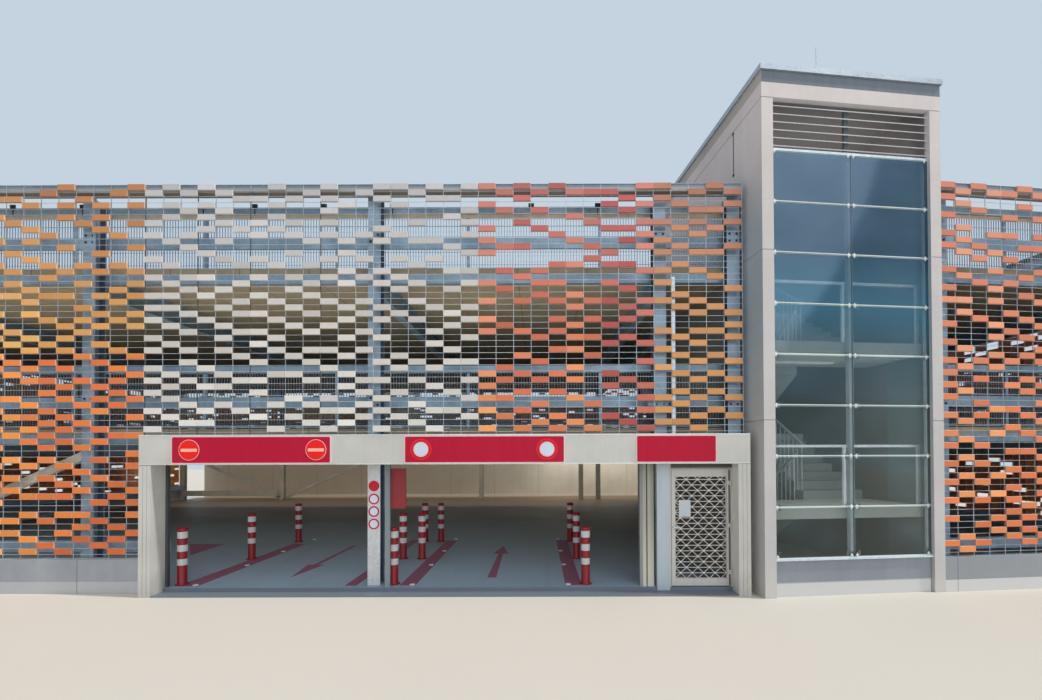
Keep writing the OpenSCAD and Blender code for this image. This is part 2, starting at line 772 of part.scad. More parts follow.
// Rail along one side of a flight, with two balusters on each tread
module flight_rail(x, rise) {
    run = (risers - 1) * going;
    slope = rise / going;
    rail_z = rise + flight_rail_h;
    translate([x, 0, 0]) union() {
        flight_side(guard_rail_w) polygon([
            [fit, rail_z - guard_rail_w], [run - fit, rail_z + run * slope - guard_rail_w],
            [run - fit, rail_z + run * slope], [fit, rail_z]
        ]);
        for (k = [0:risers - 2]) for (part = [0.25, 0.75])
            translate([(guard_rail_w - guard_bar) / 2, (k + part) * going - guard_bar / 2, (k + 1) * rise + fit])
                cube([guard_bar, guard_bar, flight_rail_h + part * rise - guard_rail_w / 2]);
    }
}
module stair_rails() {
    inner_x = flight_w - guard_rail_w;
    color("whitesmoke") {
        left_side_of_stair(floor_t) flight_rail(inner_x, rise1);
        right_side_of_stair(half1) flight_rail(0, rise1);
        left_side_of_stair(deck1_h) flight_rail(inner_x, rise2);
        right_side_of_stair(half2) flight_rail(0, rise2);
    }
}
guard_rail_w = 44;
guard_bar = 14;
rise1 = (half1 - floor_t) / risers;
rise2 = (half2 - deck1_h) / risers;
module stair_flight_1() { left_flight(floor_t, rise1, true); }
module stair_flight_2() { right_flight(half1, rise1); }
module stair_flight_3() { left_flight(deck1_h, rise2, false); }
module stair_flight_4() { right_flight(half2, rise2); }
module landing_guards() {
    rail = guard_rail_w;
    color("whitesmoke") wing() for (z = [half1, half2])
        translate([wall_t, wall_t + 60, z]) union() {
            translate([0, 0, guard_h - rail]) cube([inner_w, rail, rail]);
            for (x = [0, (inner_w - rail) / 2, inner_w - rail])
                translate([x, 0, 0]) cube([rail, rail, guard_h - rail / 2]);
        }
}

// Gate for people, between the portal's right column and its right jamb
gate_x0 = line_x + col_w / 2;
gate_x1 = portal_x1 - jamb_w;
gate_y = jamb_d - portal_out;
leaf_x0 = gate_x0 + frame_t + gate_gap;
leaf_x1 = gate_x1 - frame_t - gate_gap;
leaf_y0 = gate_y - leaf_t;
leaf_z0 = floor_t + 20;
leaf_z1 = floor_t + leaf_top;
hinge_x = leaf_x1 + gate_gap / 2;
hinge_y = leaf_y0 - knuckle_r - hinge_out;
hinge_z = [leaf_z0 + 200, (leaf_z0 + leaf_z1) / 2, leaf_z1 - 270];
head_z = leaf_z1 + gate_gap;
module gate_frame() {
    frame_y1 = col_gap + col_flange;
    color("silver") union() {
        translate([gate_x0, leaf_y0, floor_t]) cube([frame_t, frame_y1 - leaf_y0, portal_clear - floor_t]);
        translate([gate_x1 - frame_t, leaf_y0, floor_t]) cube([frame_t, leaf_t, portal_clear - floor_t]);
        translate([gate_x0, leaf_y0, head_z]) cube([gate_x1 - gate_x0, leaf_t, portal_clear - head_z]);
        for (z = hinge_z) translate([hinge_x, hinge_y, z - knuckle_h - fit]) {
            cylinder(r = knuckle_r, h = knuckle_h);
            cylinder(r = pin_r, h = 2 * knuckle_h);
            cube([gate_x1 - hinge_x, leaf_y0 - hinge_y + 1, knuckle_h]);
        }
    }
}
module gate_leaf() {
    w = leaf_x1 - leaf_x0;
    h = leaf_z1 - leaf_z0;
    color("lightgray") difference() {
        union() {
            translate([leaf_x0, leaf_y0, leaf_z0]) difference() {
                cube([w, leaf_t, h]);
                translate([stile_w, -1, leaf_rail_low])
                    cube([w - 2 * stile_w, leaf_t + 2, h - leaf_rail_low - leaf_rail_top]);
            }
            for (z = hinge_z) translate([hinge_x, hinge_y, z]) {
                cylinder(r = knuckle_r, h = knuckle_h);
                translate([-stile_w, 0, 0]) cube([stile_w, leaf_y0 - hinge_y + 1, knuckle_h]);
            }
        }
        for (z = hinge_z) translate([hinge_x, hinge_y, z - 1]) cylinder(r = pin_r + pin_gap, h = knuckle_h + 2);
    }
}
module gate_grille() {
    w = leaf_x1 - leaf_x0 - 2 * stile_w;
    h = leaf_z1 - leaf_z0 - leaf_rail_low - leaf_rail_top;
    lean = atan2(diamond_h, diamond_w);
    across = ceil(w / diamond_w);
    up = ceil(h / diamond_h);
    bar_len = h / sin(lean) + diamond_w;
    bar_t = 12;
    color("silver") translate([leaf_x0 + stile_w, leaf_y0 + leaf_t / 2 + bar_t / 2, leaf_z0 + leaf_rail_low])
        rotate([90, 0, 0]) linear_extrude(bar_t) {
            difference() {
                square([w, h]);
                translate([grille_bar, grille_bar]) square([w - 2 * grille_bar, h - 2 * grille_bar]);
            }
            intersection() {
                square([w, h]);
                union() {
                    for (i = [-up:across]) translate([i * diamond_w, 0])
                        rotate(lean) translate([-diamond_w / 2, -grille_bar / 2]) square([bar_len, grille_bar]);
                    for (i = [0:across + up]) translate([i * diamond_w, 0])
                        rotate(180 - lean) translate([-diamond_w / 2, -grille_bar / 2]) square([bar_len, grille_bar]);
                    for (j = [1:2 * up]) translate([0, j * diamond_h / 2 - grille_bar / 2])
                        square([w, grille_bar]);
                }
            }
        }
}
module gate_handle() {
    handle_z = floor_t + 1020;
    lever = 120;
    color("dimgray") for (side = [0, 1])
        translate([leaf_x0 + stile_w / 2, side == 0 ? leaf_y0 : gate_y, handle_z])
            rotate([side == 0 ? 90 : -90, 0, 0]) {
                cylinder(r = 22, h = 8);
                cylinder(r = 9, h = 50);
                translate([0, -9, 36]) cube([lever, 18, 14]);
            }
}

// Bollards on both sides of the lanes
module bollard() {
    r = bollard_dia / 2;
    rotate_extrude() polygon([[0, 0], [r + 18, 0], [r + 18, 12], [r, 18], [r, bollard_h - 25],
                              [r - 25, bollard_h], [0, bollard_h]]);
}
module bollards() {
    first_y = 210;
    rows = [[portal_x0 + 360, 0], [lines[1] + 320, 0], [lines[1] - 90, 1], [line_x - 1310, 0]];
    color("crimson") for (row = rows) for (k = [row[1]:2])
        translate([row[0], first_y + k * bollard_pitch, floor_t]) bollard();
}

floor_slab();
plinths();
yard_wall();
portal_lintel();
portal_jambs();
portal_posts();
columns_front();
columns_rear();
columns_wing();
screen_posts();
bracing();
floor_beams();
edge_beams();
deck_1();
deck_2();
crash_rails();
railings_1();
railings_2();
head_beams();
screen_left();
screen_portal();
screen_wing();
screen_left_end();
screen_wing_end();
screen_rear();
tower_left_wall();
tower_right_wall();
tower_back_wall();
tower_plinth();
tower_floor();
glazing_frame();
tower_glass();
glass_fittings();
tower_louvres();
tower_ring_beam();
tower_roof();
tower_capping();
stair_landings();
stair_flight_1();
stair_flight_2();
stair_flight_3();
stair_flight_4();
stair_rails();
landing_guards();
lightning_rod();
gate_frame();
gate_leaf();
gate_grille();
gate_handle();
bollards();
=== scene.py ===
import json
import math
import random
import bmesh
import bpy
from mathutils import Matrix, Vector


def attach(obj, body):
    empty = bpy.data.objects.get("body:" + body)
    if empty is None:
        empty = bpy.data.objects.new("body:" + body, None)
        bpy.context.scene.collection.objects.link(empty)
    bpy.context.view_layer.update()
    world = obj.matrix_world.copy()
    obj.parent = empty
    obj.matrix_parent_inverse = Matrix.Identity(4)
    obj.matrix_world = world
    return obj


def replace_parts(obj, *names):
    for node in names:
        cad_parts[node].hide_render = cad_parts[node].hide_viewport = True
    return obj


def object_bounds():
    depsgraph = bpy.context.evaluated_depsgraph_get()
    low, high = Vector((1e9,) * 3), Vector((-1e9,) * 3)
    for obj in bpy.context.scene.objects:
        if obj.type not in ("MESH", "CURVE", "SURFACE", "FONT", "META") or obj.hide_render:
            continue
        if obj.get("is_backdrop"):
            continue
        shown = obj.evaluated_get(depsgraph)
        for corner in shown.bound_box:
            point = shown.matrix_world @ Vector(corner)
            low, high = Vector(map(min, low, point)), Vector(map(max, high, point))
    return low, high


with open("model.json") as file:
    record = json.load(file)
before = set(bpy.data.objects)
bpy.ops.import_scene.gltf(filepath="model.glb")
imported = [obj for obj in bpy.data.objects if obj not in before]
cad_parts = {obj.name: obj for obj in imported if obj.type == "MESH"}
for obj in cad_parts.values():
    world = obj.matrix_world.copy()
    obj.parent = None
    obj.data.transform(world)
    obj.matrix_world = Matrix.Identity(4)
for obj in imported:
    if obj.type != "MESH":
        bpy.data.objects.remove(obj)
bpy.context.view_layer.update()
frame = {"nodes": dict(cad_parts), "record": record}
scene = bpy.context.scene

# Sizes that part.scad also holds, in metres
BAY = 5.0
LINES = [2.42 - BAY * i for i in range(5)]
LEFT_END = -17.81
MAIN_END = 3.82
SEAM_X = 3.394
DEPTH = 16.54
DECKS = (2.82, 5.69)
NET_TOP = 7.03
TILE_W = 0.3024
TILE_H = 0.1045
TILE_X0 = -6.485
PLINTH_TOP = 0.58
LINTEL_TOP = 2.69
LINTEL_LOW = 2.19
PORTAL_X0 = -6.34
PORTAL_X1 = 3.80
PORTAL_OUT = 0.31
SLAB = 0.08
COL_GAP = 0.12
COL_W = 0.22
RAIL_FACE = 0.37
RAIL_BACK = 0.401
RAIL_LOW = 1.01
RAIL_TOP = 1.13
TURN = math.radians(6.5)
CORNER = Vector((3.96, -0.46, 0.0))
TOWER_W = 3.25
TOWER_D = 5.0
WALL = 0.20
GLASS_IN = 0.06
GLASS_JOINT = 0.01
SILL = 0.62
GLASS_TOP = 7.38
ROOF_LOW = 8.5
WING_SCREEN = 0.06
WING_FIRST = 3.42
WING_LAST = 8.42
WING_END = 8.65
WING_REAR = 16.955
WING_BACK_X0 = 1.392


def rgb(*screen):
    """Screen values from 0 to 255 as the linear colour that Blender works with."""
    out = []
    for c in screen:
        c = c / 255.0
        out.append(c / 12.92 if c <= 0.04045 else ((c + 0.055) / 1.055) ** 2.4)
    return (*out, 1.0)


class Place:
    """A local frame: x along, y out of the face, z up."""

    def __init__(self, origin, along, out):
        self.origin = Vector(origin)
        self.along = Vector(along)
        self.out = Vector(out)

    def at(self, x, y, z):
        p = self.origin + self.along * x + self.out * y
        return (p.x, p.y, p.z + z)


WING_X = Vector((math.cos(TURN), math.sin(TURN), 0.0))
WING_Y = Vector((-math.sin(TURN), math.cos(TURN), 0.0))
UP = (0, 0, 1)
FRONT = Place((0, 0, 0), (1, 0, 0), (0, -1, 0))
REAR = Place((0, DEPTH, 0), (1, 0, 0), (0, 1, 0))
LEFT = Place((LEFT_END, 0, 0), (0, 1, 0), (-1, 0, 0))
WING = Place(CORNER, WING_X, WING_Y)
WING_FRONT = Place(CORNER + WING_Y * WING_SCREEN, WING_X, -WING_Y)
WING_BACK = Place(CORNER + WING_Y * WING_REAR, WING_X, WING_Y)
WING_SIDE = Place(CORNER + WING_X * WING_END, WING_Y, WING_X)


# Meshes
GREY = (0.5, 0.5, 0.5)


def circle(centre, axis, radius, sides, shift=0.0):
    """Points of a circle round an axis. A radius of 0 gives its centre alone."""
    if radius == 0:
        return [centre[:]]
    side = axis.orthogonal().normalized()
    other = axis.cross(side)
    angles = [2.0 * math.pi * (i + shift) / sides for i in range(sides)]
    return [(centre + side * (math.cos(a) * radius) + other * (math.sin(a) * radius))[:] for a in angles]


class Batch:
    """Gathers closed solids into one mesh, with a tone for each of their faces."""

    def __init__(self):
        self.verts = []
        self.faces = []
        self.tones = []

    def add(self, verts, faces, tones=None):
        base = len(self.verts)
        self.verts.extend(verts)
        self.faces.extend([base + i for i in face] for face in faces)
        self.tones.extend(tones or [GREY] * len(faces))
        return self

    def stack(self, rings, tones=None):
        """Joins rings of equally many points, one above the other, into one solid."""
        n = len(rings[0])
        top = n * (len(rings) - 1)
        faces = [range(n), range(top, top + n)]
        for r in range(0, top, n):
            for i in range(n):
                j = (i + 1) % n
                faces.append((r + i, r + j, r + n + j, r + n + i))
        return self.add([point for one in rings for point in one], faces, tones)

    def box(self, place, x0, x1, y0, y1, z0, z1, tone=GREY):
        corners = ((x0, y0), (x1, y0), (x1, y1), (x0, y1))
        return self.stack([[place.at(x, y, z) for x, y in corners] for z in (z0, z1)], [tone] * 6)

    def tray(self, place, x0, x1, y0, y1, z0, z1, edge, tone=GREY, end_tone=None):
        """A box whose outer face has bevelled edges. Its two ends may have a tone of their own."""
        rings = []
        for y, inset in ((y0, 0.0), (y1 - edge, 0.0), (y1, edge)):
            low, high = z0 + inset, z1 - inset
            left, right = x0 + inset, x1 - inset
            corners = ((left, low), (right, low), (right, high), (left, high))
            rings.append([place.at(x, y, z) for x, z in corners])
        return self.stack(rings, [tone, tone] + [tone, end_tone or tone] * 4)

    def rod(self, start, end, radius):
        start = Vector(start)
        end = Vector(end)
        axis = (end - start).normalized()
        return self.stack([circle(p, axis, radius, 6, 0.5) for p in (start, end)])

    def lathe(self, centre, axis, profile, sides):
        """Turns pairs of radius and height round an axis. A radius of 0 closes an end."""
        axis = Vector(axis).normalized()
        verts = []
        rings = []
        for radius, height in profile:
            points = circle(Vector(centre) + axis * height, axis, radius, sides)
            rings.append(range(len(verts), len(verts) + len(points)))
            verts.extend(points)
        pairs = list(zip(rings, rings[1:]))
        if profile[0][0] != 0:
            pairs.append((rings[-1], rings[0]))
        faces = []
        for low, high in pairs:
            for i in range(sides):
                j = (i + 1) % sides
                if len(low) == 1:
                    faces.append((low[0], high[i], high[j]))
                elif len(high) == 1:
                    faces.append((low[i], low[j], high[0]))
                else:
                    faces.append((low[i], low[j], high[j], high[i]))
        return self.add(verts, faces)

    def plate(self, outline, y0, y1, edge=0.0):
        """A flat plate on the front, with an outline of x and z, with its outer edge bevelled."""
        n = len(outline)
        cx = sum(p[0] for p in outline) / n
        cz = sum(p[1] for p in outline) / n
        span = max(max(abs(p[0] - cx), abs(p[1] - cz)) for p in outline)
        layers = [(y0, 1.0), (y1 - edge, 1.0), (y1, 1.0 - edge / span)] if edge else [(y0, 1.0), (y1, 1.0)]
        return self.stack([[FRONT.at(cx + (x - cx) * k, y, cz + (z - cz) * k) for x, z in outline]
                           for y, k in layers])

    def floor_plate(self, outline, z0, z1):
        """A flat plate that lies on a floor, with an outline of x and y."""
        return self.stack([[(x, y, z) for x, y in outline] for z in (z0, z1)])

    def build(self, name, material, slot, body="building", smooth=False):
        mesh = bpy.data.meshes.new(name)
        mesh.from_pydata(self.verts, [], self.faces)
        work = bmesh.new()
        work.from_mesh(mesh)
        bmesh.ops.recalc_face_normals(work, faces=work.faces)
        work.to_mesh(mesh)
        work.free()
        colours = []
        for polygon, tone in zip(mesh.polygons, self.tones):
            colours.extend((*tone, 1.0) * polygon.loop_total)
            polygon.use_smooth = smooth
        if smooth:
            mesh.set_sharp_from_angle(angle=math.radians(35.0))
        layer = mesh.color_attributes.new(name="tone", type="FLOAT_COLOR", domain="CORNER")
        layer.data.foreach_set("color", colours)
        mesh.materials.append(material)
        obj = bpy.data.objects.new(name, mesh)
        scene.collection.objects.link(obj)
        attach(obj, body)
        return obj


# Materials
class Nodes:
    """A tree of shader nodes. Plain colours are screen values from 0 to 255."""

    def __init__(self, tree):
        self.tree = tree

    def feed(self, socket, value):
        if isinstance(value, bpy.types.NodeSocket):
            self.tree.links.new(value, socket)
        else:
            socket.default_value = rgb(*value) if isinstance(value, tuple) else value

    def node(self, kind, *inputs):
        """A new node, fed with pairs of socket and value."""
        node = self.tree.nodes.new(kind)
        for socket, value in inputs:
            self.feed(node.inputs[socket], value)
        return node

    def math(self, operation, a, b=0.0):
        node = self.node("ShaderNodeMath", (0, a), (1, b))
        node.operation = operation
        return node.outputs[0]


class Look(Nodes):
    """A material that is painted in layers, each of them over the colour so far."""

    def __init__(self, name, colour, roughness, metallic=0.0):
        self.material = bpy.data.materials.new(name)
        self.material.use_nodes = True
        super().__init__(self.material.node_tree)
        self.shader = self.tree.nodes["Principled BSDF"]
        self.set("Base Color", colour)
        self.set("Roughness", roughness)
        self.set("Metallic", metallic)
        self.where = self.node("ShaderNodeTexCoord").outputs["Object"]
        self.x, self.y, self.z = self.split(self.where)
        self.colour = colour
        self.normal = None

    def set(self, socket, value):
        self.feed(self.shader.inputs[socket], value)

    def noise(self, scale, detail=3.0, rough=0.5, stretch=None):
        vector = self.where
        if stretch:
            mapping = self.node("ShaderNodeMapping", ("Vector", vector))
            mapping.inputs["Scale"].default_value = stretch
            vector = mapping.outputs["Vector"]
        return self.node("ShaderNodeTexNoise", ("Vector", vector), ("Scale", scale), ("Detail", detail),
                         ("Roughness", rough)).outputs["Fac"]

    def cells(self, scale, output):
        return self.node("ShaderNodeTexVoronoi", ("Vector", self.where), ("Scale", scale)).outputs[output]

    def ramp(self, value, stops, smooth=False):
        node = self.node("ShaderNodeValToRGB", ("Fac", value))
        ramp = node.color_ramp
        if smooth:
            ramp.interpolation = "EASE"
        while len(ramp.elements) < len(stops):
            ramp.elements.new(0.5)
        for element, (place, colour) in zip(ramp.elements, stops):
            element.position = place
            element.color = rgb(*colour) if isinstance(colour, tuple) else (colour, colour, colour, 1.0)
        return node.outputs["Color"]

    def cut(self, value, low, high, most=1.0):
        """0 up to low, most from high on."""
        return self.ramp(value, [(low, 0.0), (high, most)])

    def fade(self, value, low, high, stops, smooth=False):
        """A ramp along a coordinate, from low to high."""
        return self.ramp(self.span(value, low, high), stops, smooth)

    def mix(self, factor, a, b, blend="MIX"):
        node = self.node("ShaderNodeMix")
        node.data_type = "RGBA"
        node.blend_type = blend
        for socket, value in ((0, factor), (6, a), (7, b)):
            self.feed(node.inputs[socket], value)
        return node.outputs[2]

    def tint(self, mask, colour, share=1.0):
        """Lays a share of a colour over what is there, where the mask is 1."""
        self.colour = self.mix(mask if share == 1.0 else self.both(mask, share), self.colour, colour)

    def shade(self, value, low, high):
        """Multiplies what is there by a grey between low and high."""
        self.colour = self.mix(1.0, self.colour, self.ramp(value, [(0.0, low), (1.0, high)]), "MULTIPLY")

    def both(self, a, b):
        return self.math("MULTIPLY", a, b)

    def over(self, value, limit):
        return self.math("GREATER_THAN", value, limit)

    def under(self, value, limit):
        return self.math("LESS_THAN", value, limit)

    def band(self, value, low, high):
        """1 where a coordinate lies between low and high, 0 elsewhere."""
        return self.both(self.over(value, low), self.under(value, high))

    def joints(self, value, pitch, width, offset):
        """1 in thin lines at a fixed pitch along a coordinate, 0 elsewhere."""
        place = self.math("DIVIDE", self.math("SUBTRACT", value, offset - width / 2.0), pitch)
        return self.under(self.math("FRACT", place), width / pitch)

    def span(self, value, low, high, to_low=0.0, to_high=1.0):
        return self.node("ShaderNodeMapRange", ("Value", value), ("From Min", low), ("From Max", high),
                         ("To Min", to_low), ("To Max", to_high)).outputs["Result"]

    def split(self, vector):
        return self.node("ShaderNodeSeparateXYZ", (0, vector)).outputs

    def facing(self):
        return self.split(self.node("ShaderNodeNewGeometry").outputs["Normal"])

    def tone(self):
        node = self.node("ShaderNodeVertexColor")
        node.layer_name = "tone"
        return self.node("ShaderNodeSeparateColor", (0, node.outputs["Color"])).outputs

    def gloss(self, value, low, high):
        self.set("Roughness", self.span(value, 0.0, 1.0, low, high))

    def bump(self, value, strength, distance):
        node = self.node("ShaderNodeBump", ("Height", value), ("Strength", strength), ("Distance", distance))
        if self.normal:
            self.feed(node.inputs["Normal"], self.normal)
        self.normal = node.outputs["Normal"]
        self.set("Normal", self.normal)

    def grooves(self, seams):
        self.bump(self.math("SUBTRACT", 1.0, seams), 0.5, 0.004)

    def done(self):
        self.set("Base Color", self.colour)
        return self.material


def painted(name, colour, roughness, dirt, amount, metallic=0.0, shine=0.5):
    """Powder coat: faint orange peel, thin dirt that runs down."""
    look = Look(name, colour, roughness, metallic)
    runs = look.noise(3.0, 5.0, 0.6, (3.0, 3.0, 0.35))
    look.tint(look.cut(runs, 0.45, 0.8), dirt, amount)
    look.shade(look.noise(42.0, 3.0, 0.6), 0.95, 1.04)
    look.gloss(runs, roughness - 0.08, roughness + 0.14)
    look.bump(look.noise(260.0, 2.0), 0.12, 0.0006)
    look.set("Specular IOR Level", shine)
    return look.done()


def zinc(name, colour, darker, metallic, roughness):
    """Hot dip zinc: a spangle of crystals, paler and darker clouds, run marks."""
    look = Look(name, colour, roughness, metallic)
    spangle = look.split(look.cells(38.0, "Color"))[0]
    clouds = look.noise(1.3, 4.0, 0.6)
    look.colour = look.mix(look.cut(clouds, 0.3, 0.72), darker, colour)
    look.shade(spangle, 0.9, 1.08)
    look.shade(look.noise(5.0, 4.0, 0.6, (2.2, 2.2, 0.18)), 0.86, 1.1)
    look.gloss(look.math("ADD", look.both(spangle, 0.5), look.both(clouds, 0.5)), roughness - 0.12,
               roughness + 0.16)
    look.bump(spangle, 0.1, 0.0008)
    look.bump(look.noise(24.0, 3.0, 0.6), 0.18, 0.002)
    return look


def galvanised(name, colour, darker, metallic=0.35, roughness=0.45):
    return zinc(name, colour, darker, metallic, roughness).done()


def column_look():
    """Zinc-coated columns whose webs between the flanges are painted dark blue as shade."""
    look = zinc("column_zinc", (160, 180, 196), (128, 150, 168), 0.3, 0.42)
    shaded_web = look.both(look.band(look.y, 0.13, 0.5), look.under(look.facing()[1], -0.5))
    # Painted shade: the web in the recess between the flanges darkened to a dark blue.
    look.tint(shaded_web, (44, 58, 80), 0.7)
    return look.done()


def head_beam_look():
    """Zinc-coated head beam: a darker cap, a taupe face below it, painted shade in warm brown on its
    underside.
    """
    look = zinc("head_beam_zinc", (128, 146, 160), (104, 122, 138), 0.3, 0.45)
    look.tint(look.under(look.z, NET_TOP - 0.055), (172, 164, 152), 0.7)
    # Painted shade: faces turned down take a warm brown.
    look.tint(look.under(look.facing()[2], -0.5), (158, 140, 122), 0.85)
    return look.done()


def concrete(name, light, dark):
    """Cast concrete: clouds, form marks, pin holes and rain streaks."""
    look = Look(name, light, 0.85)
    fine = look.noise(55.0, 4.0, 0.65)
    pits = look.cut(look.cells(17.0, "Distance"), 0.035, 0.06)
    look.colour = look.mix(look.cut(look.noise(0.9, 6.0, 0.62), 0.3, 0.72), dark, light)
    look.shade(look.noise(2.4, 5.0, 0.6, (3.2, 3.2, 0.16)), 0.9, 1.07)
    look.shade(fine, 0.93, 1.06)
    look.shade(pits, 0.62, 1.0)
    look.bump(fine, 0.35, 0.003)
    look.bump(pits, 0.4, 0.004)
    look.gloss(look.noise(7.0, 4.0, 0.6), 0.72, 0.95)
    return look


def plate_look(name, first, second, heights):
    """Enamelled plates whose two mixed colours change with the height on the building, partly by their
    design and partly as painted light and shade; their ends carry a painted highlight.
    """
    look = Look("plates_" + name, first[0], 0.38)
    z = look.span(look.z, 0.0, 8.0)
    first, second = [look.ramp(z, [(h / 8.0, c) for h, c in zip(heights, colours)])
                     for colours in (first, second)]
    shade, mixed, end = look.tone()
    look.colour = look.mix(mixed, first, second)
    look.shade(shade, 0.86, 1.06)
    dust = look.noise(7.0, 5.0, 0.65, (1.6, 1.6, 2.6))
    look.tint(look.cut(dust, 0.5, 0.9, 0.3), (158, 146, 132))
    # Painted highlight: the two end faces lightened towards cream.
    look.tint(end, (250, 236, 214), 0.35)
    look.shade(look.noise(120.0, 2.0), 0.97, 1.03)
    look.gloss(dust, 0.3, 0.56)
    look.bump(look.noise(16.0), 0.15, 0.002)
    look.bump(look.noise(320.0, 2.0), 0.1, 0.0005)
    return look.done()


def floor_look():
    """Coated parking floor: grey-blue, its colour along the depth painted as light, pale by the entrance,
    darkest midway and warmer at the back; with tyre marks, blotches and a sheen.
    """
    look = Look("coated_floor", (120, 132, 142), 0.5)
    clouds = look.noise(0.55, 6.0, 0.62)
    # Painted light: a ramp along the depth, pale blue by the entrance, darkest midway, warmer at the back.
    look.colour = look.fade(look.y, 0.0, 17.0, [(0.0, (146, 167, 186)), (0.24, (122, 136, 142)),
                                                (0.5, (92, 98, 92)), (0.9, (148, 126, 101))])
    look.shade(look.cut(clouds, 0.3, 0.75), 0.92, 1.07)
    look.tint(look.cut(look.noise(2.2, 4.0, 0.6, (1.6, 0.08, 1.0)), 0.55, 0.85, 0.25), (70, 76, 84))
    look.tint(look.cut(look.noise(3.4, 5.0, 0.7), 0.62, 0.8, 0.3), (76, 80, 82))
    grit = look.noise(90.0, 3.0, 0.7)
    look.shade(grit, 0.9, 1.1)
    look.tint(look.band(look.y, -0.034, -0.022), (104, 114, 126))
    look.tint(look.under(look.y, -0.034), (112, 120, 130))
    look.gloss(clouds, 0.35, 0.68)
    look.bump(grit, 0.3, 0.0015)
    return look.done()


def deck_look():
    """Parking deck: worn wearing course above, precast slabs with joints below."""
    look = concrete("deck_slabs", (172, 160, 136), (146, 136, 114))
    seams = look.joints(look.x, 1.25, 0.012, LINES[0])
    look.tint(seams, (92, 88, 74))
    below = look.colour
    look.colour = look.mix(look.cut(look.noise(1.1, 6.0, 0.65), 0.3, 0.7), (128, 128, 124), (158, 157, 150))
    look.tint(look.cut(look.noise(1.7, 4.0, 0.6, (0.1, 1.4, 1.0)), 0.55, 0.85, 0.3), (88, 88, 88))
    look.shade(look.noise(70.0, 3.0, 0.7), 0.9, 1.1)
    across = look.joints(look.y, 4.1, 0.02, 0.1)
    look.tint(look.math("MAXIMUM", look.joints(look.x, BAY, 0.02, LINES[0]), across), (70, 70, 70))
    look.grooves(seams)
    look.colour = look.mix(look.over(look.facing()[2], 0.5), below, look.colour)
    return look.done()


def tower_look():
    """Precast wall panels: fine form marks; painted light, darker and cooler low down, brighter towards the
    roof; a left side in cooler painted shade, darkest at mid height and beside the parking storeys; painted
    shade inside.
    """
    look = concrete("wall_panels", (208, 206, 205), (188, 186, 186))
    x, y, z = look.x, look.y, look.z
    # Painted light: the walls darker and cooler low down, warmer and brighter towards the roof.
    painted_light_rise = look.fade(z, 0.0, ROOF_LOW, [(0.0, (192, 196, 198)), (0.45, (212, 212, 210)),
                                        (1.0, (255, 244, 240))])
    look.colour = look.mix(0.75, look.colour, painted_light_rise, "MULTIPLY")
    look.tint(0.22, (255, 253, 252))
    look.tint(look.fade(z, 0.0, 0.6, [(0.0, 0.35), (1.0, 0.0)], True), (206, 198, 186))
    look.tint(look.joints(z, 0.5, 0.004, 0.03), (120, 118, 114), 0.2)
    aside, back = [look.math("ADD", look.both(look.math("SUBTRACT", x, CORNER.x), along.x),
                             look.both(look.math("SUBTRACT", y, CORNER.y), along.y))
                   for along in (WING_X, WING_Y)]
    inside = look.both(look.band(aside, WALL - 0.002, TOWER_W - WALL + 0.002),
                       look.band(back, 0.1, TOWER_D - WALL + 0.002))
    # Painted shade: inner faces darker, a dark teal above the glass.
    look.tint(inside, look.mix(look.over(z, GLASS_TOP), (92, 106, 106), (140, 132, 130)), 0.9)
    plain = look.colour
    # Painted shade on the left side, which faces away from the sun: darker and cooler at mid height, lighter
    # near the top.
    look.shade(look.fade(z, 0.0, ROOF_LOW, [(0.0, 0.6), (0.5, 0.0), (0.72, 0.0), (0.88, 1.0)]), 0.97, 1.14)
    cool_shade = look.fade(z, 0.0, ROOF_LOW, [(0.3, (255, 255, 255)), (0.5, (218, 241, 255)),
                                        (0.72, (218, 241, 255)), (0.86, (255, 253, 255))])
    left = look.under(look.facing()[0], -0.5)
    look.colour = look.mix(left, plain, look.mix(1.0, look.colour, cool_shade, "MULTIPLY"))
    parking = look.both(look.band(back, 0.95, TOWER_D + 0.1), look.band(z, 0.1, DECKS[1] - 0.1))
    # Painted shade: the left side darker still where it stands beside the parking storeys.
    look.tint(look.both(left, parking), (98, 94, 86), 0.8)
    return look.done()


def roof_look():
    """Fascia in dark metal at the front, concrete at the sides, membrane on top, painted shade on the
    underside.
    """
    look = concrete("roof_edge", (200, 194, 188), (180, 174, 170))
    y, z = look.facing()[1:]
    metal = look.mix(look.noise(4.0, 4.0, 0.6, (2.0, 2.0, 0.3)), (98, 108, 117), (118, 128, 137))
    look.tint(look.under(y, -0.8), metal)
    look.tint(look.over(z, 0.5), look.mix(look.noise(1.6, 5.0, 0.6), (96, 98, 98), (128, 128, 124)))
    # Painted shade: the underside darkened.
    look.tint(look.both(look.under(z, -0.5), look.under(look.z, ROOF_LOW)), (136, 128, 126))
    return look.done()


def plinth_look():
    """Cast upstands, the wing's upstand darkened as painted shade, with painted sunlight in a pale strip
    along the foot, brightest beside the tower.
    """
    look = concrete("upstand_concrete", (165, 169, 174), (143, 149, 155))
    wing = look.over(look.x, MAIN_END + 0.1)
    # Painted shade over the wing's upstand.
    look.tint(wing, (138, 144, 148), 0.5)
    # Painted sunlight: a pale strip along the foot, stronger on the wing.
    look.tint(look.under(look.z, 0.2), (216, 216, 214), look.math("ADD", look.both(wing, 0.4), 0.35))
    seams = look.joints(look.x, BAY / 2, 0.012, LINES[0])
    look.tint(seams, (88, 86, 82), 0.7)
    look.grooves(seams)
    return look.done()


